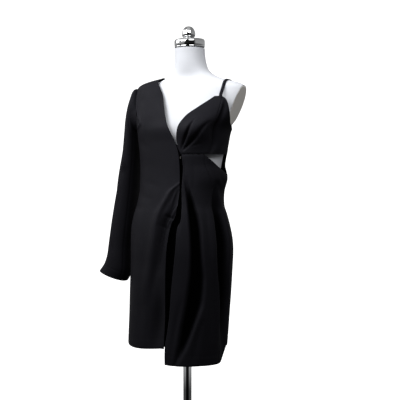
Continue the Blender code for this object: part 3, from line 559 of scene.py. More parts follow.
def arc(points, axis):
    """Distance along the rows or the columns of a grid, from its start, and from its end."""
    steps = np.linalg.norm(np.diff(points, axis=axis), axis=-1)
    reach = np.insert(np.cumsum(steps, axis=axis), 0, 0.0, axis=axis)
    return reach, np.take(reach, [-1], axis=axis) - reach


def lay_flat(piece, flat):
    """A flat UV map in metres, from a place for each vertex."""
    corners = np.empty(len(piece.data.loops), dtype=np.int32)
    piece.data.loops.foreach_get("vertex_index", corners)
    piece.data.uv_layers.new(name="cloth").data.foreach_set("uv", flat[corners].reshape(-1))


def wall(name, node, outside, inside, hollow):
    """A closed wall of crepe between two grids of points, that carries how deep in a fold it is as
    its share of painted shade.
    """
    rows, columns = outside.shape[:2]
    number = np.arange(rows * columns).reshape(rows, columns)
    back = number + rows * columns
    front_faces = np.stack([number[:-1, :-1], number[:-1, 1:], number[1:, 1:], number[1:, :-1]], -1)
    back_faces = np.stack([back[:-1, :-1], back[1:, :-1], back[1:, 1:], back[:-1, 1:]], -1)
    rim = np.concatenate([number[0, :], number[1:, -1], number[-1, -2::-1], number[-2:0:-1, 0]])
    around = np.roll(rim, -1)
    size = rows * columns
    rim_faces = np.stack([rim, rim + size, around + size, around], -1)
    faces = np.concatenate([front_faces.reshape(-1, 4), back_faces.reshape(-1, 4), rim_faces])
    piece = mesh_object(name, np.concatenate([outside.reshape(-1, 3), inside.reshape(-1, 3)]),
                        faces.tolist())
    flat = [np.tile(arc(outside, axis)[0].reshape(-1), 2) for axis in (1, 0)]
    lay_flat(piece, np.stack(flat, -1))
    # Each point keeps its share of painted fold shade, which darkens the crepe's colour and shine.
    shares = np.tile(np.clip(hollow, 0, 1).reshape(-1), 2)
    piece.data.attributes.new("hollow", "FLOAT", "POINT").data.foreach_set("value", shares)
    return finished(piece, crepe, node, 50)


def panel(name, node, surface, places, first=SEAM, last=SEAM, top=SEAM, bottom=TURNED_HEM,
          thickness=CLOTH, folds=FOLDS, shallow=0.006, deep=0.022):
    """A panel on a surface, at a grid of (angle, height) places, with its edges finished.

    Shallow and deep are the fold depths between which painted shade darkens the cloth to black."""
    angle, z = places
    points, out = surface(angle, z), facing(surface, angle, z)
    from_first, from_last = arc(points, 1)
    from_top, from_bottom = arc(points, 0)
    dip = (edge_dip(first, from_first) + edge_dip(last, from_last)
           + edge_dip(top, from_top) + edge_dip(bottom, from_bottom))
    outside = points - out * dip[..., None]
    # The share of painted shade, from how deep the folds push the cloth in.
    hollow = (fold_depth(folds, angle, z) - shallow) / (deep - shallow)
    return wall(name, node, outside, points - out * thickness, hollow)


def level_places(heights, first_edge, last_edge, columns):
    """Level rows of places between two edges, each a function that gives an angle at a height."""
    z = np.repeat(np.asarray(heights)[:, None], columns + 1, axis=1)
    share = np.linspace(0, 1, columns + 1)[None, :]
    first, last = first_edge(z[:, :1]), last_edge(z[:, :1])
    return first + (last - first) * share, z


def armhole_reach(z):
    """From 0 at the top and bottom of the armhole to 1 halfway down it."""
    middle, half = (ARMHOLE_TOP + ARMPIT) / 2, (ARMHOLE_TOP - ARMPIT) / 2
    inside = (z < ARMHOLE_TOP) & (z > ARMPIT)
    return np.sqrt(np.maximum(0.0, 1.0 - ((z - middle) / half) ** 2)) * inside


def run(start, end, spacing):
    """Heights from start down to end, evenly spaced, without the end."""
    count = max(1, round((start - end) / spacing))
    return [start + (end - start) * i / count for i in range(count)]


ARMHOLE_HEIGHTS = [(ARMHOLE_TOP + ARMPIT + (ARMHOLE_TOP - ARMPIT) * math.cos(math.pi * i / 36)) / 2
                   for i in range(36)]
SHOULDER_HEIGHTS = (run(SHOULDER_TOP, 1.385, 0.0016) + run(1.385, 1.372, 0.0022)
                    + run(1.372, ARMHOLE_TOP, 0.0025))
LOW_HEIGHTS = (run(CUTOUT_FLOOR, 0.850, 0.0028) + run(0.850, HEM, 0.0048)
               + [HEM + 0.0012, HEM])
WAIST_HEIGHTS = (run(BAND_TOP, UNDERBUST, 0.004) + [UNDERBUST] + run(SKIRT_TOP, 1.056, 0.004)
                 + [1.056, 1.0528])
RIGHT_HEIGHTS = SHOULDER_HEIGHTS + ARMHOLE_HEIGHTS + WAIST_HEIGHTS + LOW_HEIGHTS

# The real grain is about 0.6 mm. It is drawn at 1.1 mm, so that it shows in a close view.
CREPE_GRAIN, YARN = 0.0011, 0.0020
crepe, shader, tree = new_material("black wool crepe", Base_Color=linear("#0A0A0B"),
                                   Specular_Tint=(0.87, 0.89, 1.0, 1.0), Sheen_Weight=0.005,
                                   Sheen_Roughness=0.40, Sheen_Tint=linear("#8D9097"))
flat = add(tree, "ShaderNodeUVMap", uv_map="cloth")
pebble = add(tree, "ShaderNodeTexVoronoi", {"Vector": flat}, sockets={"Scale": 1 / CREPE_GRAIN})
yarn = add(tree, "ShaderNodeTexNoise", {"Vector": flat},
           sockets={"Scale": 1 / YARN, "Detail": 4.0, "Roughness": 0.55})
along = add(tree, "ShaderNodeMapping", {"Vector": flat}, sockets={"Scale": (900.0, 45.0, 1.0)})
warp = add(tree, "ShaderNodeTexNoise", {"Vector": along}, sockets={"Scale": 1.0, "Detail": 3.0})
face = add(tree, "ShaderNodeMath", {0: pebble, 1: yarn}, operation="ADD")
face = add(tree, "ShaderNodeMath", {0: face, 1: warp}, operation="ADD")
add(tree, "ShaderNodeBump", {"Height": face}, sockets={"Strength": 0.22, "Distance": 0.0003},
    drives=shader.inputs["Normal"])
shade = add(tree, "ShaderNodeValToRGB", {0: yarn},
            stops=[(0.30, linear("#18181B")), (0.72, linear("#201F24"))])
# Painted shade: the base colour and the shine are darkened by how deep the cloth lies in a fold, so
# deep in the folds it is matt and nearly full black.
hollow = add(tree, "ShaderNodeAttribute", gives="Fac", attribute_name="hollow")
painted_shade_factor = add(tree, "ShaderNodeMath", {0: hollow}, operation="MULTIPLY_ADD",
               sockets={1: -0.92, 2: 1.0})
add(tree, "ShaderNodeVectorMath", {0: shade, 3: painted_shade_factor}, operation="SCALE",
    drives=shader.inputs["Base Color"])
add(tree, "ShaderNodeMath", {0: painted_shade_factor}, operation="MULTIPLY", sockets={1: 0.12},
    drives=shader.inputs["Specular IOR Level"])
wear = add(tree, "ShaderNodeTexNoise", {"Vector": flat},
           sockets={"Scale": 14.0, "Detail": 3.0, "Roughness": 0.55})
add(tree, "ShaderNodeValToRGB", {0: wear}, stops=[(0.30, 0.58), (0.70, 0.70)],
    drives=shader.inputs["Roughness"])

back_cloth = draped_with(BACK_CREASES)
back_right = panel(
    "back_right_cloth", "back_right", back_cloth,
    level_places(
        RIGHT_HEIGHTS,
        lambda z: np.where(z > BAND_TOP, read(BACK_NECK_EDGE, z)[0], CENTRE_BACK) + SEAM_HALF_ANGLE,
        lambda z: 360 + RIGHT_SIDE - SEAM_HALF_ANGLE - ARMHOLE_BACK_REACH * armhole_reach(z), 60))


def back_left_outer(z):
    """The left back's outer edge: the side seam, and the cut-away waist."""
    cut_away = (z > CUTOUT_FLOOR + 0.003) & (z < UNDERBUST - 0.001)
    return np.where(cut_away, 113.0, LEFT_SIDE) + SEAM_HALF_ANGLE


back_left = panel(
    "back_left_cloth", "back_left", back_cloth,
    level_places(WAIST_HEIGHTS + LOW_HEIGHTS, back_left_outer,
                 lambda z: CENTRE_BACK - SEAM_HALF_ANGLE + 0 * z, 42), top=FACED)

# The right front is cut in one from the shoulder to the hem, with no dart, and its faced edge
# makes the long neckline. It wraps over the left front and is tacked down at the hip, where the
# pull draws short folds into it and lets one soft fold drop to the hem.
def angle_at(x, z):
    """The angle at which the tube of cloth is this far left of centre, on its front."""
    right, left, _, _, _, square = read(CLOTH_SECTIONS, z)
    share = np.minimum(1.0, np.abs(x) / np.where(x > 0, left, right)) ** (square / 2)
    return np.sign(x) * np.degrees(np.arcsin(share))


def front_edge(rows):
    """An edge from a table of distances left of centre."""
    return lambda z: angle_at(read(rows, z)[0], z)


def edge(rows, shift=0.0):
    """An edge from a table of angles."""
    return lambda z: read(rows, z)[0] + shift


RIGHT_FRONT_EDGE = [
    (0.4, -0.015), (0.47, -0.015), (0.617, -0.011), (0.769, -0.007), (0.845, 0.0015),
    (0.885, 0.0115), (0.903, 0.0205), (0.925, 0.0245), (0.954, 0.0253), (1.012, 0.025),
    (1.07, 0.021), (1.108, 0.017), (1.143, 0.008), (1.182, -0.0132), (1.238, -0.0425),
    (1.297, -0.065), (1.324, -0.075), (1.35, -0.088), (1.372, -0.101), (1.384, -0.104),
    (1.393, -0.103),
]
LEFT_FRONT_EDGE = [
    (0.4, -0.0115), (0.466, -0.011), (0.51, -0.0035), (0.579, 0.0065), (0.655, 0.013),
    (0.73, 0.0208), (0.788, 0.027), (0.868, 0.031), (0.889, 0.04), (0.936, 0.038), (0.995, 0.0325),
    (1.031, 0.0325), (1.07, 0.0325), (1.1165, 0.0265),
]
TACK_CREASES = [
    (-6.5, 0.911, 7.0, 0.895, 0.002, 0.0050, 0.0050),
    (15.5, 0.955, -3.0, 0.866, 0.003, -0.0060, 0.0050),
    (6.5, 1.002, 0.0, 0.918, 0.000, -0.0030, 0.0050),
    (-12.0, 0.880, 0.0, 0.862, 0.002, 0.0022, 0.0060),
    (8.0, 0.998, -2.0, 0.945, 0.004, 0.0022, 0.0040),
    (-16.0, 1.000, -46.0, 1.022, 0.006, 0.0010, 0.0100),
    (-20.0, 0.962, -58.0, 0.985, -0.006, 0.0012, 0.0120),
    (-34.0, 0.930, -70.0, 0.935, 0.004, 0.0010, 0.0110),
    (-48.0, 0.880, -52.0, 0.560, 0.010, 0.0026, 0.0220),
    (-70.0, 0.860, -66.0, 0.500, -0.008, 0.0030, 0.0240),
    (-33.0, 0.700, -30.0, 0.480, 0.004, 0.0022, 0.0170),
    (-66.0, 1.352, -44.0, 1.220, 0.004, -0.0075, 0.0060),
    (-43.0, 1.232, -66.0, 1.198, 0.000, -0.0045, 0.0060),
    (-66.0, 1.300, -56.0, 1.222, 0.003, 0.0040, 0.0070),
    (-58.0, 1.225, -76.0, 1.180, 0.003, 0.0016, 0.0090),
    (-30.0, 1.130, -62.0, 1.165, 0.006, 0.0010, 0.0120),
    (-26.0, 1.255, -38.0, 1.160, 0.004, 0.0010, 0.0130),
]
NECKLINE_EASE, HEM_DIP, HEM_DIP_FROM = 0.0035, 0.0075, 0.600


def right_front_edge(z):
    """The wrapped edge, which stands a little towards the left along the neckline."""
    eased = np.clip((z - 1.14) / 0.03, 0, 1) * np.clip((1.375 - z) / 0.05, 0, 1)
    return angle_at(read(RIGHT_FRONT_EDGE, z)[0] + NECKLINE_EASE * eased, z)


def with_front_hem(places):
    """The right front's places, with its hem dipping between the side seam and the wrap's edge."""
    angle, z = places
    dip = np.clip(1 - ((angle + 38.0) / 30.0) ** 2, 0, 1) * HEM_DIP
    return angle, z - dip * np.clip((HEM_DIP_FROM - z) / (HEM_DIP_FROM - HEM), 0, 1) ** 2


front_right = panel(
    "front_right_cloth", "front_right", draped_with(TACK_CREASES),
    with_front_hem(level_places(
        RIGHT_HEIGHTS,
        lambda z: RIGHT_SIDE + SEAM_HALF_ANGLE + ARMHOLE_FRONT_REACH * armhole_reach(z),
        right_front_edge, 110)), last=FACED)

# The underlap is a strip of the same crepe behind the wrapped edge. It is sewn in at the underbust
# and closes the gap that opens between the two fronts, so the wearer doesn't show through it.
UNDERLAP_DEPTH, UNDERLAP_CLEAR = 0.020, 0.0006
UNDERLAP_FREE, UNDERLAP_BEHIND_CUP = 1.050, 1.140


def underlap_cloth(angle, z):
    """The front's surface, from behind: joined at the underbust and free below."""
    joined = np.minimum((z - UNDERLAP_FREE) / 0.040, (UNDERLAP_BEHIND_CUP - z) / 0.018)
    depth = UNDERLAP_DEPTH + (CLOTH + UNDERLAP_CLEAR - UNDERLAP_DEPTH) * np.clip(joined, 0, 1)
    base = plain_cloth(angle, z)
    return base - facing(plain_cloth, angle, z) * (depth + fold_depth(FOLDS, angle, z))[..., None]


# Its shallow and deep are set so that the whole strip is painted in full shade.
underlap = panel(
    "underlap_cloth", "front_underlap", underlap_cloth,
    level_places(
        run(1.148, HEM + 0.004, 0.005) + [HEM + 0.004],
        lambda z: angle_at(read(RIGHT_FRONT_EDGE, z)[0] - 0.020, z),
        lambda z: angle_at(read(LEFT_FRONT_EDGE, z)[0] + 0.013, z), 12),
    first=FACED, last=FACED, top=FACED, thickness=CLOTH * 0.75, shallow=-0.022, deep=0.0)

# The left front of the skirt is longer than the rest, and drops from the underbust in two deep
# folds. A curved seam joins it to the side panel, and the cutout at the waist is faced.
PRINCESS_SEAM = [
    (0.4, 78.0), (0.56, 76.0), (0.8, 71.5), (0.9, 69.5), (0.96, 66.0), (1.012, 59.5), (1.06, 51.0),
    (1.1165, 45.5),
]
CUTOUT_EDGE = [(46.0, 1.1150), (54.0, 1.1020), (62.0, 1.0910), (72.0, 1.0770), (82.0, 1.0640),
               (92.0, 1.0535), (100.0, 1.0495)]
DRAPE_HEM_LINE = [
    (-12.0, 0.407), (10.0, 0.402), (45.0, 0.401), (72.0, 0.401), (84.0, 0.405), (91.0, 0.422),
    (100.0, 0.458),
]
DRAPE_CREASES = [
    (16.0, 1.100, 19.0, 1.030, 0.003, 0.0016, 0.0070),
    (30.0, 1.090, 33.0, 0.985, 0.003, 0.0012, 0.0090),
    (17.0, 0.985, 12.5, 0.840, 0.003, 0.0030, 0.0070),
    (52.0, 0.940, 56.0, 0.700, 0.005, 0.0030, 0.0120),
    (58.0, 0.760, 64.0, 0.480, -0.004, 0.0034, 0.0140),
    (20.0, 0.640, 6.0, 0.430, 0.004, 0.0028, 0.0100),
    (46.0, 0.560, 38.0, 0.410, 0.004, 0.0040, 0.0130),
    (72.0, 1.050, 92.0, 1.010, 0.004, 0.0016, 0.0080),
    (66.0, 1.030, 88.0, 0.975, -0.003, 0.0020, 0.0080),
]


def sloped_places(shares, top, bottom, first_edge, last_edge, columns):
    """Places whose rows run from an upper edge to a lower one, each a height at an angle."""
    share = np.asarray(shares)[:, None]
    across = np.linspace(0, 1, columns + 1)[None, :]
    z = np.full((share.shape[0], columns + 1), SKIRT_TOP)
    for _ in range(8):
        angle = first_edge(z) + (last_edge(z) - first_edge(z)) * across
        z = top(angle) + (bottom(angle) - top(angle)) * share
    return angle, z


def skirt_top(angle):
    """The skirt's upper edge: the underbust seam, then the cutout's lower edge."""
    return read(CUTOUT_EDGE, angle)[0]


def drape_hem(angle):
    """The longer front's hem."""
    return read(DRAPE_HEM_LINE, angle)[0]


shares = list(np.linspace(0, 0.985, 150)) + [0.99, 0.995, 1.0]
seam = edge(PRINCESS_SEAM)
drape_cloth = draped_with(DRAPE_CREASES)
front_left = panel(
    "front_left_cloth", "front_left", drape_cloth,
    sloped_places(shares, skirt_top, drape_hem, front_edge(LEFT_FRONT_EDGE),
                  lambda z: seam(z) - 2 * SEAM_HALF_ANGLE, 84), first=FACED)
side_left = panel(
    "side_left_cloth", "side_left", drape_cloth,
    sloped_places(shares, skirt_top, drape_hem, lambda z: seam(z) + SEAM_HALF_ANGLE,
                  lambda z: LEFT_SIDE - SEAM_HALF_ANGLE + 0 * z, 48), top=FACED)

# The cup is cut in two. The front is drawn into its lower inner corner by two tucks that open out
# towards the point of the bust, and the plain side carries on under the arm to the back.
CUP_TOP = 1.3138
CUP_FULLNESS = 0.027
CUP_NECK_EDGE = [
    (1.119, 0.0225), (1.135, 0.0145), (1.162, 0.009), (1.185, 0.01), (1.208, 0.015),
    (1.2285, 0.0246), (1.2517, 0.0425), (1.279, 0.0785), (1.302, 0.11), (1.3138, 0.1258),
]
CUP_SEAM = [(1.119, 54.0), (1.217, 49.0), (1.2555, 46.0), (1.286, 43.0), (1.3138, 40.0)]
CUP_ARM_EDGE = [
    (1.207, 100.0), (1.225, 81.0), (1.26, 63.0), (1.284, 54.0), (1.3138, 43.5),
]
CUP_TUCKS = {
    "upper tuck": [
        (1.130, 11.0, 0.001, 0.004, 0.004),
        (1.150, 13.0, 0.007, 0.005, 0.004),
        (1.183, 17.5, 0.011, 0.006, 0.005),
        (1.212, 21.0, 0.006, 0.005, 0.004),
        (1.232, 22.5, 0.000, 0.004, 0.004),
    ],
    "lower tuck": [
        (1.126, 12.5, 0.001, 0.004, 0.005),
        (1.138, 16.5, 0.007, 0.005, 0.007),
        (1.155, 23.0, 0.010, 0.006, 0.009),
        (1.178, 29.5, 0.010, 0.007, 0.010),
        (1.205, 36.0, 0.006, 0.007, 0.009),
        (1.230, 41.0, 0.000, 0.006, 0.008),
    ],
    "valley beside the seam": [
        (1.119, 56.0, 0.001, 0.006, 0.010),
        (1.150, 57.5, 0.007, 0.009, 0.015),
        (1.210, 55.5, 0.010, 0.009, 0.016),
        (1.270, 49.5, 0.007, 0.006, 0.013),
        (1.302, 45.0, 0.000, 0.005, 0.008),
    ],
}
CUP_CREASES = [
    (20.0, 1.136, 40.0, 1.152, -0.002, 0.0012, 0.0040),
    (16.0, 1.150, 26.0, 1.205, 0.001, -0.0012, 0.0040),
    (60.0, 1.130, 66.0, 1.180, 0.003, 0.0012, 0.0070),
    (76.0, 1.135, 92.0, 1.165, 0.004, 0.0014, 0.0070),
]


def cup_cloth(angle, z):
    """The cup, full over the bust."""
    rise = (CUP_FULLNESS * bust_rise(angle, z) - fold_depth(CUP_TUCKS, angle, z)
            - crease_depth(CUP_CREASES, angle, z))
    return plain_cloth(angle, z) + facing(plain_cloth, angle, z) * rise[..., None]


cup_seam, arm_edge = edge(CUP_SEAM), edge(CUP_ARM_EDGE, -SEAM_HALF_ANGLE)
cup_front = panel(
    "cup_front_cloth", "cup_front", cup_cloth,
    level_places(run(CUP_TOP, SKIRT_TOP, 0.0026) + [SKIRT_TOP],
                 front_edge(CUP_NECK_EDGE), lambda z: cup_seam(z) - SEAM_HALF_ANGLE, 80),
    first=FACED, top=FACED, bottom=SEAM, folds=CUP_TUCKS, shallow=0.003, deep=0.022)
cup_side = panel(
    "cup_side_cloth", "cup_side", cup_cloth,
    level_places(run(CUP_TOP, BAND_TOP, 0.0026) + run(BAND_TOP, SKIRT_TOP, 0.004) + [SKIRT_TOP],
                 lambda z: cup_seam(z) + SEAM_HALF_ANGLE,
                 lambda z: arm_edge(z) - 3.0 * np.clip((z - 1.300) / 0.0138, 0, 1) ** 2, 44),
    last=FACED, top=FACED, bottom=FACED, folds=CUP_TUCKS, shallow=0.003, deep=0.022)

# The strap is a rouleau: a narrow bias tube of the crepe, pressed flat, that runs from the point of
# the cup over the shoulder to the band at the back, where both ends are sewn down.
STRAP_WIDTH, STRAP_THICKNESS, STRAP_LIFT = 0.0115, 0.0016, 0.0008
STRAP_BACK_ANGLE = 142.0
# The strap leaves the cup and the band for the form at places this far behind and above its ends.
STRAP_LEAD_FRONT, STRAP_LEAD_BACK = (0.018, 0.050), (0.002, 0.014)
STRAP_HUB_Y, STRAP_HUB_Z, STRAP_BOW = 0.020, 1.300, 0.005


def strap_rows():
    """Centre points and outward directions along the strap, lying on the form."""
    top = float(cup_seam(CUP_TOP)) - 1.3
    front = Vector(cup_cloth(np.array(top), np.array(CUP_TOP)))
    back = Vector(plain_cloth(np.array(STRAP_BACK_ANGLE), np.array(BAND_TOP)))
    front_out = Vector(facing(plain_cloth, np.array(top), np.array(CUP_TOP)))
    back_out = Vector(facing(plain_cloth, np.array(STRAP_BACK_ANGLE), np.array(BAND_TOP)))
    start, end = (math.atan2(foot.z + lead[1] - STRAP_HUB_Z, foot.y + lead[0] - STRAP_HUB_Y)
                  for foot, lead in ((front, STRAP_LEAD_FRONT), (back, STRAP_LEAD_BACK)))
    rows = [(front, front_out)]
    for i in range(91):
        share = i / 90
        turn = start + (end - start) * share
        x = front.x + (back.x - front.x) * share**2.2 - STRAP_BOW * math.sin(math.pi * share)
        ray = Vector((0, math.cos(turn), math.sin(turn)))
        where, out, _, _ = shell.ray_cast(Vector((x, STRAP_HUB_Y, STRAP_HUB_Z)) + ray * 0.3, -ray)
        rows.append((where + out * STRAP_LIFT, out))
    rows.append((back, back_out))
    return rows


rows = strap_rows()
steps = np.concatenate([np.linspace(0, 1, 9)[:-1], np.arange(1, len(rows) - 2),
                        np.linspace(len(rows) - 2, len(rows) - 1, 9)])
index = np.minimum(steps.astype(int), len(rows) - 2)
share = (steps - index)[:, None]
points, outs = (np.array([row[k] for row in rows]) for k in (0, 1))
points = points[index] * (1 - share) + points[index + 1] * share
outs = outs[index] * (1 - share) + outs[index + 1] * share
# Smoothed, and lifted back out wherever that sinks it into the form.
for _ in range(4):
    for _ in range(3):
        points[2:-2] = (points[1:-3] + 2 * points[2:-2] + points[3:-1]) / 4
    for spot in points[1:-1]:
        near, out, _, _ = shell.find_nearest(Vector(spot))
        if (Vector(spot) - near).dot(out) < STRAP_LIFT:
            spot[:] = near + out * STRAP_LIFT
for _ in range(12):
    outs[1:-1] = (outs[:-2] + outs[1:-1] + outs[2:]) / 3
lift = np.full(len(points), 0.0003)
lift[[0, -1]] = 0.0
points[0, 2] -= 0.006
points[0] += outs[0] * 0.0006
points[-1, 2] += 0.0009
ahead = unit(np.gradient(points, axis=0))
outs = unit(outs - ahead * np.sum(outs * ahead, axis=1)[:, None])
sideways = unit(np.cross(outs, ahead))
ROUND = [(-1.0, 0.5), (-0.94, 0.15), (-0.80, 0.0), (0.80, 0.0), (0.94, 0.15), (1.0, 0.5),
         (0.94, 0.85), (0.80, 1.0), (0.0, 1.05), (-0.80, 1.0), (-0.94, 0.85)]
ring = np.array(ROUND)
tube = (points[:, None, :] + sideways[:, None, :] * (ring[None, :, :1] * STRAP_WIDTH / 2)
        + outs[:, None, :] * (ring[None, :, 1:] * STRAP_THICKNESS + lift[:, None, None]))
count, sides = tube.shape[:2]
strap = mesh_object("strap", tube, tube_faces(count, sides))
crossways = np.tile(np.arange(sides) * 0.0018, count)
lay_flat(strap, np.stack([crossways, np.repeat(arc(points, 0)[0], sides)], -1))
finished(strap, crepe, "strap_left", 50)

# A small hook and bar, pressed from nickel-plated brass, holds the wrapped edge at the underbust.
# The plating is worn in spots, which dulls its glint.
nickel, shader, tree = new_material("nickel-plated brass", Base_Color=linear("#6F6D6A"),
                                    Metallic=1.0)
place = add(tree, "ShaderNodeTexCoord", gives="Object")
spots = add(tree, "ShaderNodeTexNoise", {"Vector": place}, sockets={"Scale": 900.0, "Detail": 3.0})
add(tree, "ShaderNodeValToRGB", {0: spots}, stops=[(0.3, 0.18), (0.7, 0.38)],
    drives=shader.inputs["Roughness"])
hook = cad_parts["front_hook"]
hook.data.materials.clear()
hook.data.materials.append(nickel)

# The long sleeve is cut in two pieces, as in a jacket: an upper sleeve and a narrower under sleeve,
# joined by a seam at the front and one at the elbow. Nothing fills it, so it hangs straight and
# fairly flat, with a few shallow breaks at the elbow, and its cuff flares a little.
SLEEVE_RINGS = [
    (-0.2200, 1.3470, -0.2090, 1.2000, 0.013, 0.052),
    (-0.2350, 1.3150, -0.2085, 1.1880, 0.013, 0.055),
    (-0.2440, 1.2650, -0.2080, 1.1700, 0.013, 0.060),
    (-0.2490, 1.2050, -0.2060, 1.1420, 0.012, 0.062),
    (-0.2560, 1.1400, -0.2070, 1.1000, 0.011, 0.062),
    (-0.2720, 1.0600, -0.2110, 1.0400, 0.010, 0.062),
    (-0.2840, 0.9850, -0.2170, 0.9700, 0.008, 0.061),
    (-0.3000, 0.8900, -0.2270, 0.8720, 0.004, 0.060),
    (-0.3110, 0.8120, -0.2345, 0.7950, 0.000, 0.058),
    (-0.3175, 0.7650, -0.2345, 0.7440, -0.004, 0.056),
    (-0.3300, 0.7330, -0.2360, 0.7030, -0.006, 0.054),
    (-0.3490, 0.7070, -0.2530, 0.6700, -0.008, 0.052),
]
SLEEVE_FRONT_SEAM, SLEEVE_BACK_SEAM = 140.0, 220.0
SLEEVE_EASE, SLEEVE_SHADE_DEPTH = 0.003, 0.008
HEAD_RIDGE, HEAD_SQUARE = 0.0008, 0.0062
# Columns: turn and ring at both ends of the crease, bow in rings, depth, half width in rings.
SLEEVE_CREASES = [
    (40, 5.0, 118, 5.7, 0.25, 0.0018, 0.26),
    (60, 6.1, 125, 5.9, -0.20, 0.0015, 0.24),
    (20, 6.6, 100, 7.2, 0.20, 0.0015, 0.28),
    (200, 5.4, 262, 5.8, 0.20, 0.0026, 0.22),
    (190, 6.2, 250, 6.7, -0.15, 0.0022, 0.20),
    (70, 1.5, 116, 2.5, 0.20, 0.0014, 0.26),
    (244, 1.6, 292, 2.6, 0.15, 0.0024, 0.22),
    (50, 8.6, 96, 9.3, 0.15, 0.0014, 0.26),
    (262, 7.6, 318, 8.3, 0.20, 0.0018, 0.26),
]


def armhole_points(turn):
    """The armhole's edge. Turn 0 is the shoulder, 90 the front and 180 the armpit."""
    across, up = np.sin(np.radians(turn)), np.cos(np.radians(turn))
    reach = np.where(across > 0, ARMHOLE_FRONT_REACH, ARMHOLE_BACK_REACH)
    z = (ARMHOLE_TOP + ARMPIT) / 2 + ((ARMHOLE_TOP - ARMPIT) / 2 - 2 * SEAM_GAP) * up
    angle = RIGHT_SIDE + (reach - SEAM_HALF_ANGLE * 3) * across
    return plain_cloth(angle, z) + facing(plain_cloth, angle, z) * SEAM_GAP


def sleeve_points(turn, ring):
    """The sleeve. Ring 0 is the armhole and each later one is a row of the table."""
    turn, ring = np.broadcast_arrays(turn, ring)
    across, out = np.sin(np.radians(turn)), np.cos(np.radians(turn))

    def on_row(i):
        table = np.array(SLEEVE_RINGS)[np.clip(i - 1, 0, len(SLEEVE_RINGS) - 1)]
        out_x, out_z, in_x, in_z, middle, half_depth = (table[..., k] for k in range(6))
        out_x = out_x - SLEEVE_EASE
        flat = np.sign(across) * np.abs(across) ** np.where(across > 0, 0.78, 1.0)
        made = np.stack([(out_x + in_x) / 2 + (out_x - in_x) / 2 * out,
                         middle - half_depth * flat,
                         (out_z + in_z) / 2 + (out_z - in_z) / 2 * out], -1)
        return np.where((i < 1)[..., None], armhole_points(turn), made)

    last = len(SLEEVE_RINGS)
    i = np.clip(np.ceil(ring).astype(int) - 1, 0, last - 1)
    before, low, high, after = on_row(i - 1), on_row(i), on_row(i + 1), on_row(i + 2)
    t = (ring - i)[..., None]
    start = np.where((i < 1)[..., None], high - low, (high - before) / 2)
    end = np.where((i > last - 2)[..., None], high - low, (after - low) / 2)
    return ((2 * t**3 - 3 * t**2 + 1) * low + (t**3 - 2 * t**2 + t) * start
            + (3 * t**2 - 2 * t**3) * high + (t**3 - t**2) * end)


def sleeve_out(turn, ring):
    """The sleeve's outward direction."""
    around = sleeve_points(turn + 2, ring) - sleeve_points(turn - 2, ring)
    down = (sleeve_points(turn, np.minimum(ring + 0.05, len(SLEEVE_RINGS)))
            - sleeve_points(turn, np.maximum(ring - 0.05, 0.0)))
    return unit(np.cross(down, around))


rings_down = np.concatenate([np.linspace(0, 1, 14)[:-1], np.linspace(1, 12, 140)])
for name, node, first, last, columns, flat_size, area in (
        ("upper_sleeve_cloth", "sleeve_upper", SLEEVE_BACK_SEAM - 360, SLEEVE_FRONT_SEAM, 56,
         (0.30, 0.70), 0.140),
        ("under_sleeve_cloth", "sleeve_under", SLEEVE_FRONT_SEAM, SLEEVE_BACK_SEAM, 18,
         (0.10, 0.60), 0.046)):
    turn, ring = np.meshgrid(np.linspace(first + 0.05, last - 0.05, columns + 1), rings_down)
    points, out = sleeve_points(turn, ring), sleeve_out(turn, ring)
    u = turn % 360
    pushed = np.zeros(u.shape)
    for a0, r0, a1, r1, bow, depth, half_width in SLEEVE_CREASES:
        share = np.clip((u - a0) / (a1 - a0), 0, 1)
        off = ring - (r0 + (r1 - r0) * share) - bow * 4 * share * (1 - share)
        pushed += depth * np.sin(np.pi * share) ** 0.8 * np.exp(-((off / half_width) ** 2))
    from_first, from_last = arc(points, 1)
    from_top, from_bottom = arc(points, 0)
    pushed += (edge_dip(SEAM, from_first) + edge_dip(SEAM, from_last)
               + edge_dip(TURNED_HEM, from_bottom)) * (from_top > 0.004)
    # A little fullness is eased into the sleeve's head, and stands proud just past the seam.
    ridge, square = (np.exp(-(((from_top - middle) / half_width) ** 2))
                     for middle, half_width in ((0.010, 0.008), (0.013, 0.014)))
    pushed -= np.clip(np.cos(np.radians(u)), 0, 1) ** 0.7 * (HEAD_RIDGE * ridge
                                                             + HEAD_SQUARE * square)
    # The sleeve's colour is painted darker as shade where its creases and seam dips push the cloth
    # in.
    made = wall(name, node, points - out * pushed[..., None],
                points - out * (CLOTH + 0.4 * pushed[..., None]), pushed / SLEEVE_SHADE_DEPTH)

# The floor is a roll of white paper, swept up behind into a wall.
bpy.ops.object.select_all(action="DESELECT")
bpy.ops.mesh.primitive_grid_add(x_subdivisions=2, y_subdivisions=60, size=1,
                                location=(0, 0, 0))
paper = bpy.context.object
paper.name = "paper_floor"
SWEEP, FLAT_END, PAPER_LENGTH, PAPER_WIDTH = 2.6, 4.0, 14.0, 16.0
VIEW_TURN = math.radians(26)
for vertex in paper.data.vertices:
    along = (vertex.co.y + 0.5) * PAPER_LENGTH - 5.0
    past = max(0.0, along - FLAT_END)
    bend = min(past / SWEEP, math.pi / 2)
    x, y = vertex.co.x * PAPER_WIDTH, min(along, FLAT_END) + SWEEP * math.sin(bend)
    vertex.co = (x * math.cos(VIEW_TURN) - y * math.sin(VIEW_TURN),
                 x * math.sin(VIEW_TURN) + y * math.cos(VIEW_TURN),
                 SWEEP * (1 - math.cos(bend)) + max(0.0, past - SWEEP * math.pi / 2) - 0.0005)
for polygon in paper.data.polygons:
    polygon.use_smooth = True
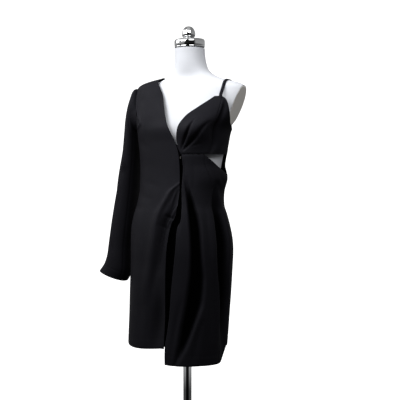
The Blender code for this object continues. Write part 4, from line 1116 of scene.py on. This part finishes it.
# Its matt fibres scatter all light, so it shows as one even white.
backdrop, shader, tree = new_material("white seamless paper", Base_Color=linear("#B4B4B3"),
                                      Roughness=0.85, Emission_Color=linear("#FFFFFF"),
                                      Emission_Strength=0.96)
place = add(tree, "ShaderNodeTexCoord", gives="Object")
fibre = add(tree, "ShaderNodeTexNoise", {"Vector": place}, sockets={"Scale": 120.0, "Detail": 4.0})
add(tree, "ShaderNodeBump", {"Height": fibre}, sockets={"Strength": 0.03, "Distance": 0.001},
    drives=shader.inputs["Normal"])
paper.data.materials.append(backdrop)
# The photo was cut out on white, so the dress catches no light from the paper.
paper.visible_diffuse = paper.visible_glossy = False

# Soft studio light: a large key from the upper left of the camera, a weaker fill from the right,
# one overhead, and a weak one from the far left that reaches the sleeve.


def lamp(name, watts, size, turn, rise, reach, height=1.0):
    """A square area light, aimed at the dress from a turn round it and a rise above it."""
    data = bpy.data.lights.new(name, "AREA")
    data.energy, data.shape, data.size = watts, "SQUARE", size
    made = bpy.data.objects.new(name, data)
    bpy.context.scene.collection.objects.link(made)
    turn, rise = math.radians(turn), math.radians(rise)
    way = Vector((math.sin(turn) * math.cos(rise), -math.cos(turn) * math.cos(rise),
                  math.sin(rise)))
    made.location = Vector((0, 0, height)) + way * reach
    made.rotation_euler = way.to_track_quat("Z", "Y").to_euler()
    return made


lamp("key", 26.5, 1.1, -24, 31, 1.7, height=1.40)
lamp("fill", 16, 1.0, 40, 35, 1.8, height=1.36)
lamp("top", 1.5, 1.2, 10, 78, 1.7, height=1.15)
lamp("side", 9, 1.0, -74, 30, 1.8, height=1.20)
world = bpy.data.worlds.new("studio")
bpy.context.scene.world = world
world.use_nodes = True
tree = world.node_tree
# The room is white above, grey at eye level, and darkest where the camera stands.
around = add(tree, "ShaderNodeTexCoord", gives="Generated")
up = add(tree, "ShaderNodeSeparateXYZ", {0: around}, gives="Z")
level = add(tree, "ShaderNodeMath", {0: up}, operation="MULTIPLY_ADD", sockets={1: 0.5, 2: 0.5})
height_shade = add(tree, "ShaderNodeValToRGB", {0: level},
                   stops=[(0.40, 0.10), (0.52, 0.75), (0.90, 0.50)])
towards = add(tree, "ShaderNodeVectorMath", {0: around}, gives="Value", operation="DOT_PRODUCT",
              sockets={1: (math.sin(VIEW_TURN), -math.cos(VIEW_TURN), 0.0)})
dark_side = add(tree, "ShaderNodeValToRGB", {0: towards}, stops=[(0.68, 1.0), (0.84, 0.04)])
add(tree, "ShaderNodeMath", {0: height_shade, 1: dark_side}, operation="MULTIPLY",
    drives=tree.nodes["Background"].inputs["Color"])
tree.nodes["Background"].inputs["Strength"].default_value = 0.60
bpy.context.scene.view_settings.view_transform = "Standard"
bpy.context.scene.view_settings.look = "Medium High Contrast"

# The camera stands 3.8 m away at waist height, level, 26 degrees to the wearer's left.
CAMERA_REACH, CAMERA_HEIGHT, CAMERA_ASIDE, FRAME_WIDTH = 3.8, 0.96, 0.035, 1.4
camera_data = bpy.data.cameras.new("camera")
camera_data.sensor_width = 36.0
camera_data.lens = 36.0 * CAMERA_REACH / FRAME_WIDTH
camera = bpy.data.objects.new("camera", camera_data)
bpy.context.scene.collection.objects.link(camera)
camera.location = (
    math.sin(VIEW_TURN) * CAMERA_REACH + math.cos(VIEW_TURN) * CAMERA_ASIDE,
    -math.cos(VIEW_TURN) * CAMERA_REACH + math.sin(VIEW_TURN) * CAMERA_ASIDE, CAMERA_HEIGHT)
camera.rotation_euler = (math.pi / 2, 0, VIEW_TURN)
bpy.context.scene.camera = camera
